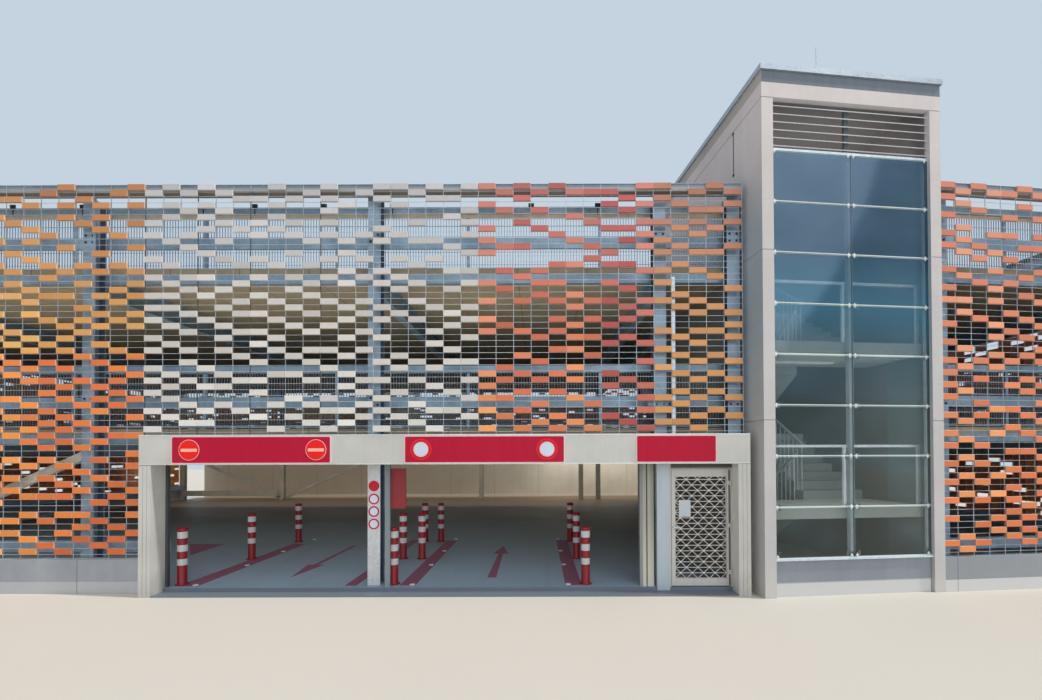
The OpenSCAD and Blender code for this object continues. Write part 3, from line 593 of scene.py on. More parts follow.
def tower_plinth_look():
    # Painted light: a grey-blue upstand in painted shade under the sill, with a pale band of painted
    # sunlight along its foot.
    look = concrete("tower_upstand", (144, 151, 158), (130, 137, 145))
    look.tint(look.fade(look.z, 0.2, 0.24, [(0.0, 0.85), (1.0, 0.0)], True), (208, 209, 208))
    return look.done()


def yard_look():
    """Pale yard wall: painted shade darkening it to the left, a brighter head, a painted sunlit strip along
    the foot, panel joints.
    """
    look = concrete("yard_concrete", (238, 234, 216), (220, 214, 196))
    # Painted shade: darker towards the left, where less light reaches.
    look.tint(look.fade(look.x, -6.0, 1.0, [(0.0, 0.7), (1.0, 0.0)], True), (156, 142, 124))
    look.tint(look.over(look.z, 1.9), (240, 234, 220), 0.5)
    # Painted sunlight: a brighter strip along the foot.
    look.tint(look.under(look.z, 0.2), (238, 232, 220), 0.5)
    seams = look.joints(look.x, 2.4, 0.015, 0.3)
    look.tint(seams, (110, 102, 90), 0.6)
    look.grooves(seams)
    return look.done()


def frame_look():
    """Pale posts behind the glass, darkened as painted shade where they stand behind the louvres."""
    look = zinc("glazing_posts", (214, 228, 234), (196, 212, 220), 0.15, 0.4)
    look.tint(look.over(look.z, GLASS_TOP + 0.12), (104, 108, 112), 0.85)
    return look.done()


def cladding_look():
    """Coated sheet panels of the portal, with faint dirt at the foot and painted light on the faces towards
    -x.
    """
    look = Look("portal_sheet", (196, 195, 188), 0.48, 0.1)
    clouds = look.noise(1.4, 4.0, 0.6)
    look.colour = look.mix(look.cut(clouds, 0.3, 0.7), (190, 190, 184), (206, 205, 198))
    foot = look.fade(look.z, 0.0, 0.5, [(0.0, 0.4), (1.0, 0.0)], True)
    look.tint(foot, (118, 112, 102), look.noise(9.0, 4.0, 0.7))
    look.shade(look.noise(6.0, 4.0, 0.6, (3.0, 3.0, 0.15)), 0.95, 1.04)
    # Painted light: faces towards -x, which stand in shade, are lightened.
    look.tint(look.under(look.facing()[0], -0.5), (240, 238, 232), 0.8)
    look.gloss(clouds, 0.4, 0.58)
    look.bump(look.noise(180.0, 2.0), 0.1, 0.0006)
    look.bump(look.noise(1.8, 2.0), 0.1, 0.01)
    return look.done()


# Paint of the guide posts from left to right: where each begins and ends along the front
POST_PAINTS = ((-6.2, -6.0, (70, 74, 78)), (-2.4, -2.2, (128, 142, 147)), (2.0, 2.082, (138, 140, 138)),
               (2.082, 2.215, (162, 162, 148)), (2.215, 2.3, (136, 142, 128)))


def post_look():
    """Clad guide posts in blue-grey and cream, the right hand ones with painted sunlight at their feet, all
    of them painted darker towards the top as shade.
    """
    look = Look("guide_posts", (140, 146, 148), 0.45, 0.05)
    for x0, x1, paint in POST_PAINTS:
        look.tint(look.band(look.x, x0, x1), paint)
    up = look.span(look.z, 0.0, 2.2)
    # Painted sunlight: the right hand posts pale at their feet.
    look.tint(look.over(look.x, 2.082), (214, 212, 196), look.ramp(up, [(0.05, 0.75), (0.6, 0.1)]))
    # Painted shade: all posts darker towards the top.
    look.shade(look.math("SUBTRACT", 1.0, up), 0.84, 1.06)
    runs = look.noise(3.0, 5.0, 0.6, (3.0, 3.0, 0.35))
    look.shade(runs, 0.93, 1.05)
    look.shade(look.noise(60.0, 3.0, 0.6), 0.95, 1.04)
    look.gloss(runs, 0.36, 0.56)
    look.bump(look.noise(240.0, 2.0), 0.12, 0.0006)
    return look.done()


def glass_look():
    """Solar glass with its colour painted as reflections, dark green low down and bluer higher up; more
    mirroring above, with a pale film of rain marks.
    """
    look = Look("solar_glass", (60, 92, 112), 0.06)
    up = look.span(look.z, 0.6, 7.4)
    # Painted reflection: from a dark green low down to sky blues higher up.
    look.colour = look.ramp(up, [(0.0, (40, 52, 50)), (0.36, (44, 60, 60)), (0.5, (52, 82, 94)),
                                 (0.62, (50, 110, 136)), (0.76, (46, 82, 106)), (1.0, (60, 94, 118))])
    film = look.noise(0.9, 4.0, 0.6, (1.0, 1.0, 1.8))
    look.tint(look.cut(film, 0.45, 0.85, 0.3), (104, 134, 152))
    look.gloss(film, 0.03, 0.1)
    look.bump(look.noise(0.7, 1.0, 0.4), 0.04, 0.03)
    look.set("Alpha", look.ramp(up, [(0.0, 0.5), (0.4, 0.52), (0.62, 0.68), (1.0, 0.78)]))
    look.set("Metallic", look.cut(up, 0.3, 0.7, 0.35))
    look.set("IOR", 1.52)
    look.set("Specular IOR Level", 0.7)
    return look.done()


def edge_look():
    """Ground glass edges, greener at a pane's head, with a painted highlight in white at its foot."""
    look = Look("pane_edge", (206, 222, 220), 0.3)
    film = look.noise(9.0, 4.0, 0.6, (1.0, 1.0, 3.0))
    look.colour = look.mix(look.tone()[0], (138, 160, 160), (222, 232, 230))
    look.shade(film, 0.8, 1.08)
    look.gloss(film, 0.2, 0.5)
    look.bump(look.noise(90.0, 2.0), 0.15, 0.0006)
    return look.done()


LOOKS = {
    "parking_floor": floor_look(),
    "plinth_concrete": plinth_look(),
    "yard_concrete": yard_look(),
    "portal_cladding": cladding_look(),
    "dark_steel": post_look(),
    "galvanised_steel": galvanised("zinc_frame", (160, 184, 202), (124, 150, 170)),
    "deck_concrete": deck_look(),
    "screen_orange": galvanised("net_bars_left", (196, 206, 212), (160, 172, 182), 0.3, 0.4),
    "screen_red": galvanised("net_bars_middle", (200, 208, 214), (164, 176, 186), 0.3, 0.4),
    "tower_concrete": tower_look(),
    "light_metal": galvanised("light_metal", (218, 226, 232), (194, 204, 212), 0.25, 0.36),
    "tower_glass": glass_look(),
    "steel_fittings": galvanised("bright_fittings", (214, 220, 222), (176, 184, 188), 0.6, 0.28),
    "roof_edge": roof_look(),
    "stair_concrete": concrete("stair_concrete", (196, 204, 196), (176, 184, 176)).done(),
    "gate_paint": painted("gate_paint", (190, 190, 184), 0.4, (120, 120, 118), 0.18, 0.1),
    "bollard_red": painted("bollard_red", (140, 14, 30), 0.4, (76, 22, 30), 0.3),
}
# Painted light: a paler, warmer copy of the zinc for the rear columns, bracing and crash beam.
LIT_REAR_STEEL = galvanised("lit_rear_steel", (200, 196, 180), (172, 168, 152), 0.1, 0.6)
FLIGHT_LOOK = concrete("flight_concrete", (140, 150, 150), (122, 132, 132)).done()
OWN_LOOKS = {
    **{"stair_flight_%d" % i: FLIGHT_LOOK for i in (1, 2, 3, 4)},
    "glazing_frame": frame_look(),
    "gate_grille": galvanised("grille_bars", (204, 200, 194), (168, 164, 158), 0.45, 0.32),
    "columns_front": column_look(),
    "columns_rear": LIT_REAR_STEEL,
    "bracing": LIT_REAR_STEEL,
    "head_beams": head_beam_look(),
    "tower_floor": LOOKS["stair_concrete"],
    "lightning_rod": LOOKS["steel_fittings"],
    "tower_plinth": tower_plinth_look(),
    "tower_capping": galvanised("capping_sheet", (182, 192, 202), (162, 173, 184), 0.3, 0.4),
}
for part in frame["record"]["subparts"]:
    materials = frame["nodes"][part["node"]].data.materials
    materials.clear()
    materials.append(OWN_LOOKS.get(part["node"], LOOKS[part["material_slot"]]))

ROD_LOOK = galvanised("net_rods", (206, 216, 222), (170, 182, 192), 0.3, 0.36)
DARK_BOLTS = (galvanised("bolts", (74, 82, 92), (52, 58, 66), 0.6, 0.4), "steel_fittings")
TRIM_LOOK = galvanised("bright_trim", (226, 230, 230), (204, 208, 208), 0.35, 0.34)
# Painted shade: dark strips for the shadowed slot over the gate and the gap at its hinge side.
GAP_SHADE_LOOK = painted("painted_gap_shade", (86, 80, 74), 0.7, (60, 56, 52), 0.4)
SEAL_LOOK = painted("dark_seal", (44, 50, 54), 0.6, (30, 32, 34), 0.3)

AMBER = (plate_look(
    "amber",
    [(214, 102, 44), (226, 114, 54), (228, 118, 60), (218, 156, 80), (210, 146, 84), (188, 122, 78)],
    [(242, 150, 58), (252, 160, 66), (248, 152, 76), (246, 190, 108), (232, 172, 104), (214, 150, 98)],
    [0.6, 2.6, 4.0, 4.2, 5.5, 7.0]), "screen_orange")
WHITE = (plate_look(
    "white",
    [(216, 212, 204), (212, 208, 200), (206, 201, 194), (202, 199, 196), (196, 195, 196)],
    [(236, 232, 225), (230, 226, 218), (224, 218, 210), (219, 215, 211), (212, 212, 213)],
    [2.7, 3.6, 4.6, 5.8, 7.0]), "light_metal")
RED = (plate_look(
    "red",
    [(218, 120, 68), (212, 106, 66), (198, 100, 70), (196, 98, 82), (178, 90, 84)],
    [(255, 172, 94), (250, 158, 94), (242, 152, 110), (230, 146, 122), (210, 128, 112)],
    [2.7, 3.4, 4.6, 5.8, 7.0]), "screen_red")
CRIMSON = (plate_look(
    "crimson",
    [(188, 74, 60), (188, 78, 68), (186, 80, 76), (186, 84, 84)],
    [(214, 106, 82), (216, 122, 98), (228, 140, 120), (222, 140, 124)],
    [2.7, 4.0, 5.6, 7.0]), "screen_red")
TERRACOTTA = (plate_look(
    "terracotta",
    [(224, 154, 82), (220, 154, 90), (216, 150, 92), (206, 138, 100), (190, 122, 94)],
    [(238, 174, 96), (234, 174, 104), (226, 166, 108), (218, 154, 116), (208, 142, 114)],
    [2.7, 4.0, 5.2, 5.9, 7.0]), "screen_red")
RUST = (plate_look(
    "wing",
    [(220, 112, 56), (224, 122, 74), (220, 130, 96), (206, 122, 98)],
    [(250, 158, 88), (248, 164, 104), (240, 166, 128), (228, 156, 130)],
    [0.6, 3.0, 5.0, 7.0]), "screen_orange")


# Coloured plates of the screens
ROD_R = 0.004
ROD_OUT = 0.012
PLATE_BACK = 0.016
PLATE_FRONT = 0.042
PLATE_PLAY = 0.002
OPEN_FIELD = (0, 0)
HIDDEN_ROWS = (14, 34)
HIDDEN_ENDS = (14, 62)


def plate_rows(count, before, dice, closed):
    """Rows of one column that carry a plate, seldom beside a plate of the column before."""
    rows = []
    row = dice.choice([0, 0, 1, 2])
    while row < count:
        shut = closed[0] <= row < closed[1] and dice.random() < (row - closed[0] + 1) / 6.0
        if row in before and not shut and dice.random() < 0.72:
            row += 1
            continue
        rows.append(row)
        weights = [6, 5, 6, 3, 1] if row < 15 else [7, 8, 3, 1.2, 0.8]
        row += dice.choices([1, 2], [9, 1])[0] if shut else dice.choices([2, 3, 4, 5, 7], weights)[0]
    return rows


def plates(name, place, x_start, columns, z_low, finish, seed, closed=OPEN_FIELD):
    """One field of plates. Between the two rows of closed nearly every place has its plate."""
    dice = random.Random(seed)
    batch = Batch()
    count = int((NET_TOP - z_low) / TILE_H + 0.02)
    before = []
    for k in range(columns):
        rows = plate_rows(count, before, dice, closed)
        tint = 0.75 if dice.random() < 0.3 else 0.1
        spread = 0.2 if closed == OPEN_FIELD else 0.42
        x0 = x_start + k * TILE_W
        for row in rows:
            z1 = NET_TOP - row * TILE_H - 0.0015
            z0 = z1 - TILE_H + 0.003
            shade = dice.random()
            mixed = min(1.0, max(0.0, tint + dice.gauss(0.0, spread)))
            left = x0 + PLATE_PLAY + dice.uniform(-0.0012, 0.0012)
            # A third tone of 1 marks the two end faces for their painted highlight.
            batch.tray(place, left, left + TILE_W - 2 * PLATE_PLAY, PLATE_BACK, PLATE_FRONT, z0, z1, 0.0035,
                       (shade, mixed, 0.0), (shade, mixed, 1.0))
        before = rows
    return batch.build("plates_" + name, *finish)


left_columns = int((TILE_X0 - LEFT_END) / TILE_W)
plates("left", FRONT, TILE_X0 - left_columns * TILE_W, left_columns, PLINTH_TOP, AMBER, 11)
plates("white", FRONT, TILE_X0, 19, LINTEL_TOP, WHITE, 23)
plates("red", FRONT, TILE_X0 + 19 * TILE_W, 7, LINTEL_TOP, RED, 31)
plates("crimson", FRONT, TILE_X0 + 26 * TILE_W, 3, LINTEL_TOP, CRIMSON, 47)
plates("terracotta", FRONT, TILE_X0 + 29 * TILE_W, 5, LINTEL_TOP, TERRACOTTA, 59)
plates("wing", WING_FRONT, 3.2503, 17, PLINTH_TOP, RUST, 67)
plates("wing_end", WING_SIDE, WING_SCREEN, 55, PLINTH_TOP, RUST, 71, HIDDEN_ENDS)
plates("wing_rear", WING_BACK, WING_BACK_X0, 24, LINTEL_TOP, RUST, 73, HIDDEN_ROWS)
plates("left_end", LEFT, 0.0, 54, PLINTH_TOP, AMBER, 79, HIDDEN_ENDS)
plates("rear_amber", REAR, LEFT_END, 34, LINTEL_TOP, AMBER, 83, HIDDEN_ROWS)
plates("rear_white", REAR, LEFT_END + 34 * TILE_W, 22, LINTEL_TOP, WHITE, 89, HIDDEN_ROWS)
plates("rear_red", REAR, LEFT_END + 56 * TILE_W, 14, LINTEL_TOP, RED, 97, HIDDEN_ROWS)


def net_rods(name, runs):
    """Round rods in front of the net's bars, one on each line between two rows of plates."""
    batch = Batch()
    for place, x0, x1, z_low in runs:
        for row in range(int((NET_TOP - z_low - ROD_R) / TILE_H) + 1):
            z = NET_TOP - (row * TILE_H or ROD_R)
            batch.rod(place.at(x0, ROD_OUT, z), place.at(x1, ROD_OUT, z), ROD_R)
    return batch.build(name, ROD_LOOK, "steel_fittings")


net_rods("net_rods_front", [(FRONT, LEFT_END, TILE_X0, PLINTH_TOP), (FRONT, TILE_X0, MAIN_END, LINTEL_TOP),
                            (WING_FRONT, TOWER_W, WING_END, PLINTH_TOP)])
net_rods("net_rods_hidden_sides", [(LEFT, 0.0, DEPTH, PLINTH_TOP), (REAR, LEFT_END, SEAM_X, LINTEL_TOP),
                                   (WING_BACK, WING_BACK_X0, WING_END, LINTEL_TOP),
                                   (WING_SIDE, WING_SCREEN, WING_REAR, PLINTH_TOP)])
seams = Batch()
for k in (0, 3, 6, 10):
    seam_x = TILE_X0 + k * TILE_W
    seams.tray(FRONT, seam_x - 0.008, seam_x + 0.008, 0.008, 0.0155, LINTEL_TOP, NET_TOP - 0.13, 0.001)
seams.build("net_seams", galvanised("net_seams", (92, 96, 96), (70, 74, 76), 0.3, 0.5), "steel_fittings")

# Bar gratings in the guard rails
END_RAIL = 0.191
RAILS = ((FRONT, LEFT_END + 0.16, MAIN_END - 0.03, -RAIL_BACK),
         (REAR, LEFT_END + 0.16, SEAM_X - 0.04, -RAIL_BACK),
         (LEFT, 0.52, DEPTH - 0.52, -END_RAIL),
         (WING_FRONT, TOWER_W + 0.04, WING_END - 0.17, -RAIL_BACK),
         (WING_BACK, 1.47, WING_END - 0.17, -RAIL_BACK),
         (WING_SIDE, 0.58, WING_REAR - 0.52, -END_RAIL))


def gratings(name, level, look):
    """Upright bars with round wires across them, between the deck and the top rail."""
    batch = Batch()
    for place, x0, x1, out in RAILS:
        count = int((x1 - x0) / 0.05)
        pitch = (x1 - x0) / count
        for i in range(count + 1):
            x = x0 + i * pitch
            batch.box(place, x - 0.005, x + 0.005, out - 0.011, out, level + 0.045, level + RAIL_LOW - 0.001)
        for z in (0.09, 0.32, 0.6, 0.79, 0.93):
            batch.rod(place.at(x0, out + 0.003, level + z), place.at(x1, out + 0.003, level + z), 0.004)
    return batch.build(name, look, "galvanised_steel")


gratings("gratings_1", DECKS[0], galvanised("grating_bars_1", (138, 144, 150), (110, 116, 122), 0.25, 0.45))
gratings("gratings_2", DECKS[1], galvanised("grating_bars_2", (156, 178, 200), (124, 148, 174), 0.3, 0.42))
# Painted light: a sand-coloured band under the top rails of deck 2 stands for light thrown up from the deck.
bands = Batch()
band_top = DECKS[1] + RAIL_LOW - 0.001
for place, x0, x1, out in RAILS:
    bands.box(place, x0, x1, out, out + 0.004, band_top - 0.067, band_top)
bands.build("grating_bands", painted("painted_bounce_band", (206, 188, 164), 0.5, (150, 132, 108), 0.35),
            "galvanised_steel")

# Bolts, splice plate, clamps and one more crash beam of the steel frame
HEX = [(0.0, 0.0), (0.017, 0.0), (0.017, 0.01), (0.0135, 0.0135), (0.0, 0.0135)]
WASHER = [(0.0, 0.0), (0.021, 0.0), (0.021, 0.003), (0.0, 0.003)]


def sized(profile, radial, axial, lift=0.0):
    return [(r * radial, lift + h * axial) for r, h in profile]


def bolt(batch, place, x, out, z, size=1.0):
    base = place.at(x, out, z)
    batch.lathe(base, place.out, sized(WASHER, size, size), 12)
    batch.lathe(base, place.out, sized(HEX, size, size, 0.003 * size), 6)


bolts = Batch()
for place, lines in ((FRONT, LINES + [3.71]), (REAR, LINES + [SEAM_X - 0.1103]),
                     (WING_FRONT, [WING_FIRST, WING_LAST]), (WING_BACK, [WING_FIRST, WING_LAST])):
    for x in lines:
        for level in DECKS:
            for dz in (0.40, 0.52):
                for dx in (-0.062, 0.062):
                    bolt(bolts, place, x + dx, -COL_GAP, level + dz)
        for dx in (-0.07, 0.07):
            base = place.at(x + dx, -COL_GAP - COL_W - 0.025, SLAB + 0.025)
            bolts.lathe(base, UP, sized(HEX, 1.2, 1.2), 6)
for dz in (0.40, 0.53):
    bolt(bolts, FRONT, 2.575, -COL_GAP + 0.008, DECKS[0] + dz, 0.9)
bolts.build("frame_bolts", *DARK_BOLTS)
Batch().tray(FRONT, 2.2, 2.61, -COL_GAP, -COL_GAP + 0.008, DECKS[0] + 0.37, DECKS[0] + 0.58, 0.002).build(
    "splice_plate", LOOKS["galvanised_steel"], "galvanised_steel")

rear_beam = Batch().tray(REAR, LEFT_END + 0.34, LINES[3] - 0.11, -0.51, -0.391, 0.29, 0.56, 0.012)
for x in (LEFT_END + 0.45, LINES[3] - 0.22):
    rear_beam.box(REAR, x - 0.06, x + 0.06, -0.42, -0.3901, 0.25, 0.60)
rear_beam.build("rear_crash_beam", LIT_REAR_STEEL, "galvanised_steel")

clamps = Batch()
rail_z = DECKS[1] + RAIL_TOP
face = -RAIL_FACE
for x in (-9.19, -7.93, -5.75, -4.82, -3.57, -2.33, 0.17, 1.37):
    clamps.tray(FRONT, x - 0.008, x + 0.008, face, face + 0.008, rail_z - 0.14, rail_z + 0.01, 0.001)
    clamps.tray(FRONT, x - 0.05, x + 0.05, face, face + 0.012, rail_z - 0.012, rail_z + 0.062, 0.003)
    clamps.box(FRONT, x - 0.05, x + 0.05, face - 0.06, face, rail_z, rail_z + 0.008)
    for dx in (-0.027, 0.027):
        bolt(clamps, FRONT, x + dx, face + 0.012, rail_z + 0.034)
clamps.build("rail_clamps", *DARK_BOLTS)
Batch().tray(FRONT, 2.60, 2.66, -0.06, -0.02, LINTEL_TOP, 5.42, 0.002).build(
    "slim_post", LOOKS["light_metal"], "galvanised_steel")

# Portal: thin trims, cover strip, joints, signs
trims = Batch()
for z0 in (LINTEL_TOP - 0.018, LINTEL_LOW):
    trims.tray(FRONT, PORTAL_X0, PORTAL_X1, PORTAL_OUT, PORTAL_OUT + 0.004, z0, z0 + 0.018, 0.001)
trims.build("portal_trims", TRIM_LOOK, "portal_cladding")
COVER_OUT = -COL_GAP + 0.004
Batch().tray(FRONT, -2.69, -2.47, -COL_GAP, COVER_OUT, SLAB, LINTEL_LOW - 0.002, 0.001).build(
    "column_cover", galvanised("cover_sheet", (212, 215, 218), (192, 196, 200), 0.3, 0.4),
    "portal_cladding")
gaps = Batch()
for x0 in (PORTAL_X0, PORTAL_X1 - 0.2):
    gaps.box(FRONT, x0, x0 + 0.2, PORTAL_OUT - 0.002, PORTAL_OUT + 0.001, LINTEL_LOW - 0.006, LINTEL_LOW)
gaps.build("portal_joints", SEAL_LOOK, "dark_steel")


def rounded(x0, x1, z0, z1, r, steps=5):
    """Outline of a rectangle with rounded corners."""
    points = []
    corners = (x1 - r, z1 - r), (x0 + r, z1 - r), (x0 + r, z0 + r), (x1 - r, z0 + r)
    for quarter, (cx, cz) in enumerate(corners):
        for i in range(steps + 1):
            a = math.radians(90.0 * (quarter + i / steps))
            points.append((cx + r * math.cos(a), cz + r * math.sin(a)))
    return points


def disc(cx, cz, r, steps=40):
    """Outline of a round disc."""
    return [(cx + r * math.cos(2 * math.pi * i / steps), cz + r * math.sin(2 * math.pi * i / steps))
            for i in range(steps)]


DISC_CRIMSON = painted("disc_crimson", (196, 22, 52), 0.5, (150, 26, 46), 0.25, 0.0, 0.3)
RIM_OUT = PORTAL_OUT + 0.012
rims, boards, red_discs, inner_discs, bars, pale_discs = [Batch() for i in range(6)]
for x0, x1 in ((-5.796, -3.145), (-1.937, 0.727), (1.903, 3.241)):
    rims.plate(rounded(x0, x1, 2.206, 2.668, 0.035), PORTAL_OUT, RIM_OUT, 0.002)
    boards.plate(rounded(x0 + 0.018, x1 - 0.018, 2.224, 2.650, 0.022), RIM_OUT, RIM_OUT + 0.002)
SIGN_Z = 2.437
# Thin discs that lie on each other: batch, radius, back and face in millimetres before the rim
BAR_SIGN = ((rims, 0.172, 2, 4), (red_discs, 0.164, 4, 6))
RING_SIGN = ((red_discs, 0.178, 2, 4), (inner_discs, 0.158, 4, 6), (rims, 0.124, 6, 7),
             (pale_discs, 0.103, 7, 9))
for x, pile in ((-5.496, BAR_SIGN), (-3.394, BAR_SIGN), (-1.656, RING_SIGN), (0.43, RING_SIGN)):
    for batch, radius, back, face in pile:
        batch.plate(disc(x, SIGN_Z, radius), RIM_OUT + back / 1000, RIM_OUT + face / 1000)
    if pile is BAR_SIGN:
        bars.plate(rounded(x - 0.132, x + 0.132, 2.408, 2.459, 0.006), RIM_OUT + 0.006, RIM_OUT + 0.008)
COVER_X = -2.58
for z in (1.58, 1.362, 1.145):
    inner_discs.plate(disc(COVER_X, z, 0.094), COVER_OUT, COVER_OUT + 0.003)
    pale_discs.plate(disc(COVER_X, z, 0.068), COVER_OUT + 0.003, COVER_OUT + 0.005)
inner_discs.plate(disc(COVER_X, 1.806, 0.093), COVER_OUT, COVER_OUT + 0.004)
rims.build("sign_rims", painted("sign_pale", (232, 200, 200), 0.4, (170, 150, 146), 0.2), "light_metal")
boards.build("sign_boards", painted("sign_crimson", (184, 8, 50), 0.55, (146, 14, 46), 0.25, 0.0, 0.25),
             "screen_red")
red_discs.build("sign_red_discs", painted("disc_red", (244, 22, 20), 0.5, (196, 26, 24), 0.2, 0.0, 0.3),
                "screen_red")
inner_discs.build("sign_inner_discs", DISC_CRIMSON, "screen_red")
bars.build("sign_bars", painted("disc_pale_pink", (252, 186, 168), 0.4, (224, 150, 136), 0.2),
           "light_metal")
pale_discs.build("sign_pale_discs", painted("disc_blue_white", (206, 219, 238), 0.4, (180, 190, 204), 0.2),
                 "light_metal")
Batch().plate(rounded(-2.296, -2.014, 1.415, 2.111, 0.012), -0.112, -0.0801, 0.004).build(
    "lane_panel", painted("panel_red", (140, 36, 42), 0.5, (96, 36, 40), 0.3), "screen_red")

# Bollards: a slim tube with a foot plate, a domed cap and reflective sleeves
BOLLARD_X = (PORTAL_X0 + 0.36, LINES[1] + 0.32, LINES[1] - 0.09, LINES[0] - 1.31)
BOLLARD_PITCH = 2.1
TUBE_R = 0.0755
TUBE = [(0.0, 0.0), (0.112, 0.0), (0.112, 0.009), (0.108, 0.012), (0.084, 0.012), (0.079, 0.017),
        (TUBE_R, 0.028), (TUBE_R, 0.944), (0.0815, 0.948), (0.084, 0.953), (0.084, 0.975), (0.081, 0.984),
        (0.072, 0.992), (0.05, 0.998), (0.0, 1.0)]
posts, sleeves, foot_bolts = Batch(), Batch(), Batch()
for row, bollard_x in enumerate(BOLLARD_X):
    for k in range(1 if row == 2 else 0, 3):
        foot = Vector((bollard_x, 0.21 + BOLLARD_PITCH * k, SLAB))
        posts.lathe(foot, UP, TUBE, 40)
        for z0, z1 in ((0.345, 0.455), (0.585, 0.70), (0.815, 0.93)):
            sleeve = [(TUBE_R, z0), (0.0785, z0 + 0.002), (0.0785, z1 - 0.002), (TUBE_R, z1)]
            sleeves.lathe(foot, UP, sleeve, 40)
        for i in range(4):
            a = math.radians(45 + 90 * i)
            base = foot + Vector((math.cos(a) * 0.097, math.sin(a) * 0.097, 0.011))
            foot_bolts.lathe(base, UP, sized(HEX, 0.62, 0.8), 6)
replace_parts(posts.build("bollard_posts", LOOKS["bollard_red"], "bollard_red", smooth=True), "bollards")
sleeves.build("bollard_bands", painted("reflective_white", (196, 197, 200), 0.36, (150, 140, 130), 0.35),
              "bollard_red", smooth=True)
foot_bolts.build("bollard_bolts", *DARK_BOLTS)

# Floor markings: four strips, two arrows and a corner, then the studs beside the strips
marks = Batch()
for x0, x1, y0, y1 in ((-5.97, -5.63, 0.08, 4.1), (-2.13, -1.855, 0.1, 4.5), (0.75, 1.03, 0.1, 4.5),
                       (-3.08, -2.88, 0.1, 4.6)):
    marks.floor_plate([(x0, y0), (x1, y0), (x1, y1), (x0, y1)], SLAB, SLAB + 0.002)
for outline in ([(-4.36, 3.85), (-4.36, 1.72), (-4.48, 1.72), (-4.31, 0.68), (-4.14, 1.72), (-4.26, 1.72),
                 (-4.26, 3.85)],
                [(-0.663, 0.64), (-0.497, 0.64), (-0.53, 2.8), (-0.41, 2.8), (-0.58, 3.76), (-0.75, 2.8),
                 (-0.63, 2.8)],
                [(-8.6, 4.1), (-7.6, 2.7), (-7.7, 4.1)]):
    marks.floor_plate(outline, SLAB, SLAB + 0.002)
marks.build("floor_markings", painted("marking_red", (136, 78, 104), 0.6, (98, 98, 108), 0.6),
            "parking_floor")
studs = Batch()
for x in (-5.70, -1.92, 0.80):
    for y in (0.15, 1.67, 3.1, 4.7):
        studs.lathe((x, y, SLAB + 0.002), UP, [(0.0, 0.0), (0.05, 0.0), (0.045, 0.012), (0.0, 0.016)], 16)
studs.build("floor_studs", painted("stud_white", (206, 210, 208), 0.4, (120, 116, 110), 0.3), "light_metal")

# Glass: polished edges of the panes, the seal between their columns, clamp heads, a lamp behind them
ROWS = 8
ROW_H = (GLASS_TOP - SILL) / ROWS
PANE_W = (TOWER_W - 2 * WALL - GLASS_JOINT) / 2
MIDDLE = WALL + PANE_W + GLASS_JOINT / 2
CLAMP_HEAD = [(0.0, 0.0), (0.027, 0.0), (0.027, 0.006), (0.021, 0.011), (0.009, 0.012), (0.007, 0.009),
              (0.0, 0.009)]
edges = Batch()
for c in range(2):
    x0 = WALL + c * (PANE_W + GLASS_JOINT) + 0.002
    x1 = x0 + PANE_W - 0.004
    for r in range(ROWS):
        z0 = SILL + r * ROW_H
        z1 = z0 + ROW_H - GLASS_JOINT
        # A tone of 1 gives the foot of each pane its painted white highlight.
        for low, high, tone in ((z0 - 0.0006, z0 + 0.014, 1.0), (z1 - 0.011, z1 + 0.0006, 0.0)):
            edges.box(WING, x0, x1, GLASS_IN - 0.0012, GLASS_IN + 0.004, low, high, (tone, 0.5, 0.5))
edges.build("pane_edges", edge_look(), "tower_glass")
seal = Batch()
seal.box(WING, MIDDLE - 0.0055, MIDDLE + 0.0055, GLASS_IN - 0.0005, GLASS_IN + 0.012, SILL, GLASS_TOP - 0.01)
seal.build("pane_seal", SEAL_LOOK, "light_metal")
heads = Batch()
for r in range(ROWS + 1):
    z = SILL + r * ROW_H - GLASS_JOINT / 2 + (0.03 if r == 0 else 0.0)
    for x in (WALL + 0.055, MIDDLE - 0.05, MIDDLE + 0.05, TOWER_W - WALL - 0.055):
        heads.lathe(WING.at(x, GLASS_IN + 0.001, z), -WING_Y, CLAMP_HEAD, 20)
        heads.box(WING, x - 0.009, x + 0.009, GLASS_IN + 0.0005, GLASS_IN - 0.004, z - 0.04, z + 0.04)
heads.build("pane_clamp_heads", TRIM_LOOK, "steel_fittings")
strap = Batch().tray(Place(CORNER, WING_Y, -WING_X), 0.894, 0.918, 0.0, 0.004, 7.40, 8.2, 0.001)
for z in (7.42, 8.18):
    strap.lathe(WING.at(-0.0035, 0.906, z), -WING_X, CLAMP_HEAD, 20)
strap.build("wall_conductor", *DARK_BOLTS)
tube = Batch()
tube.lathe(WING.at(0.75, 0.95, 4.03), WING_X, [(0.0, 0.0), (0.019, 0.0), (0.019, 1.2), (0.0, 1.2)], 16)
tube.box(WING, 0.73, 1.97, 0.92, 0.98, 4.0455, 4.0549)
tube.build("landing_lamp", painted("disc_white", (222, 224, 230), 0.34, (170, 166, 160), 0.2), "light_metal")

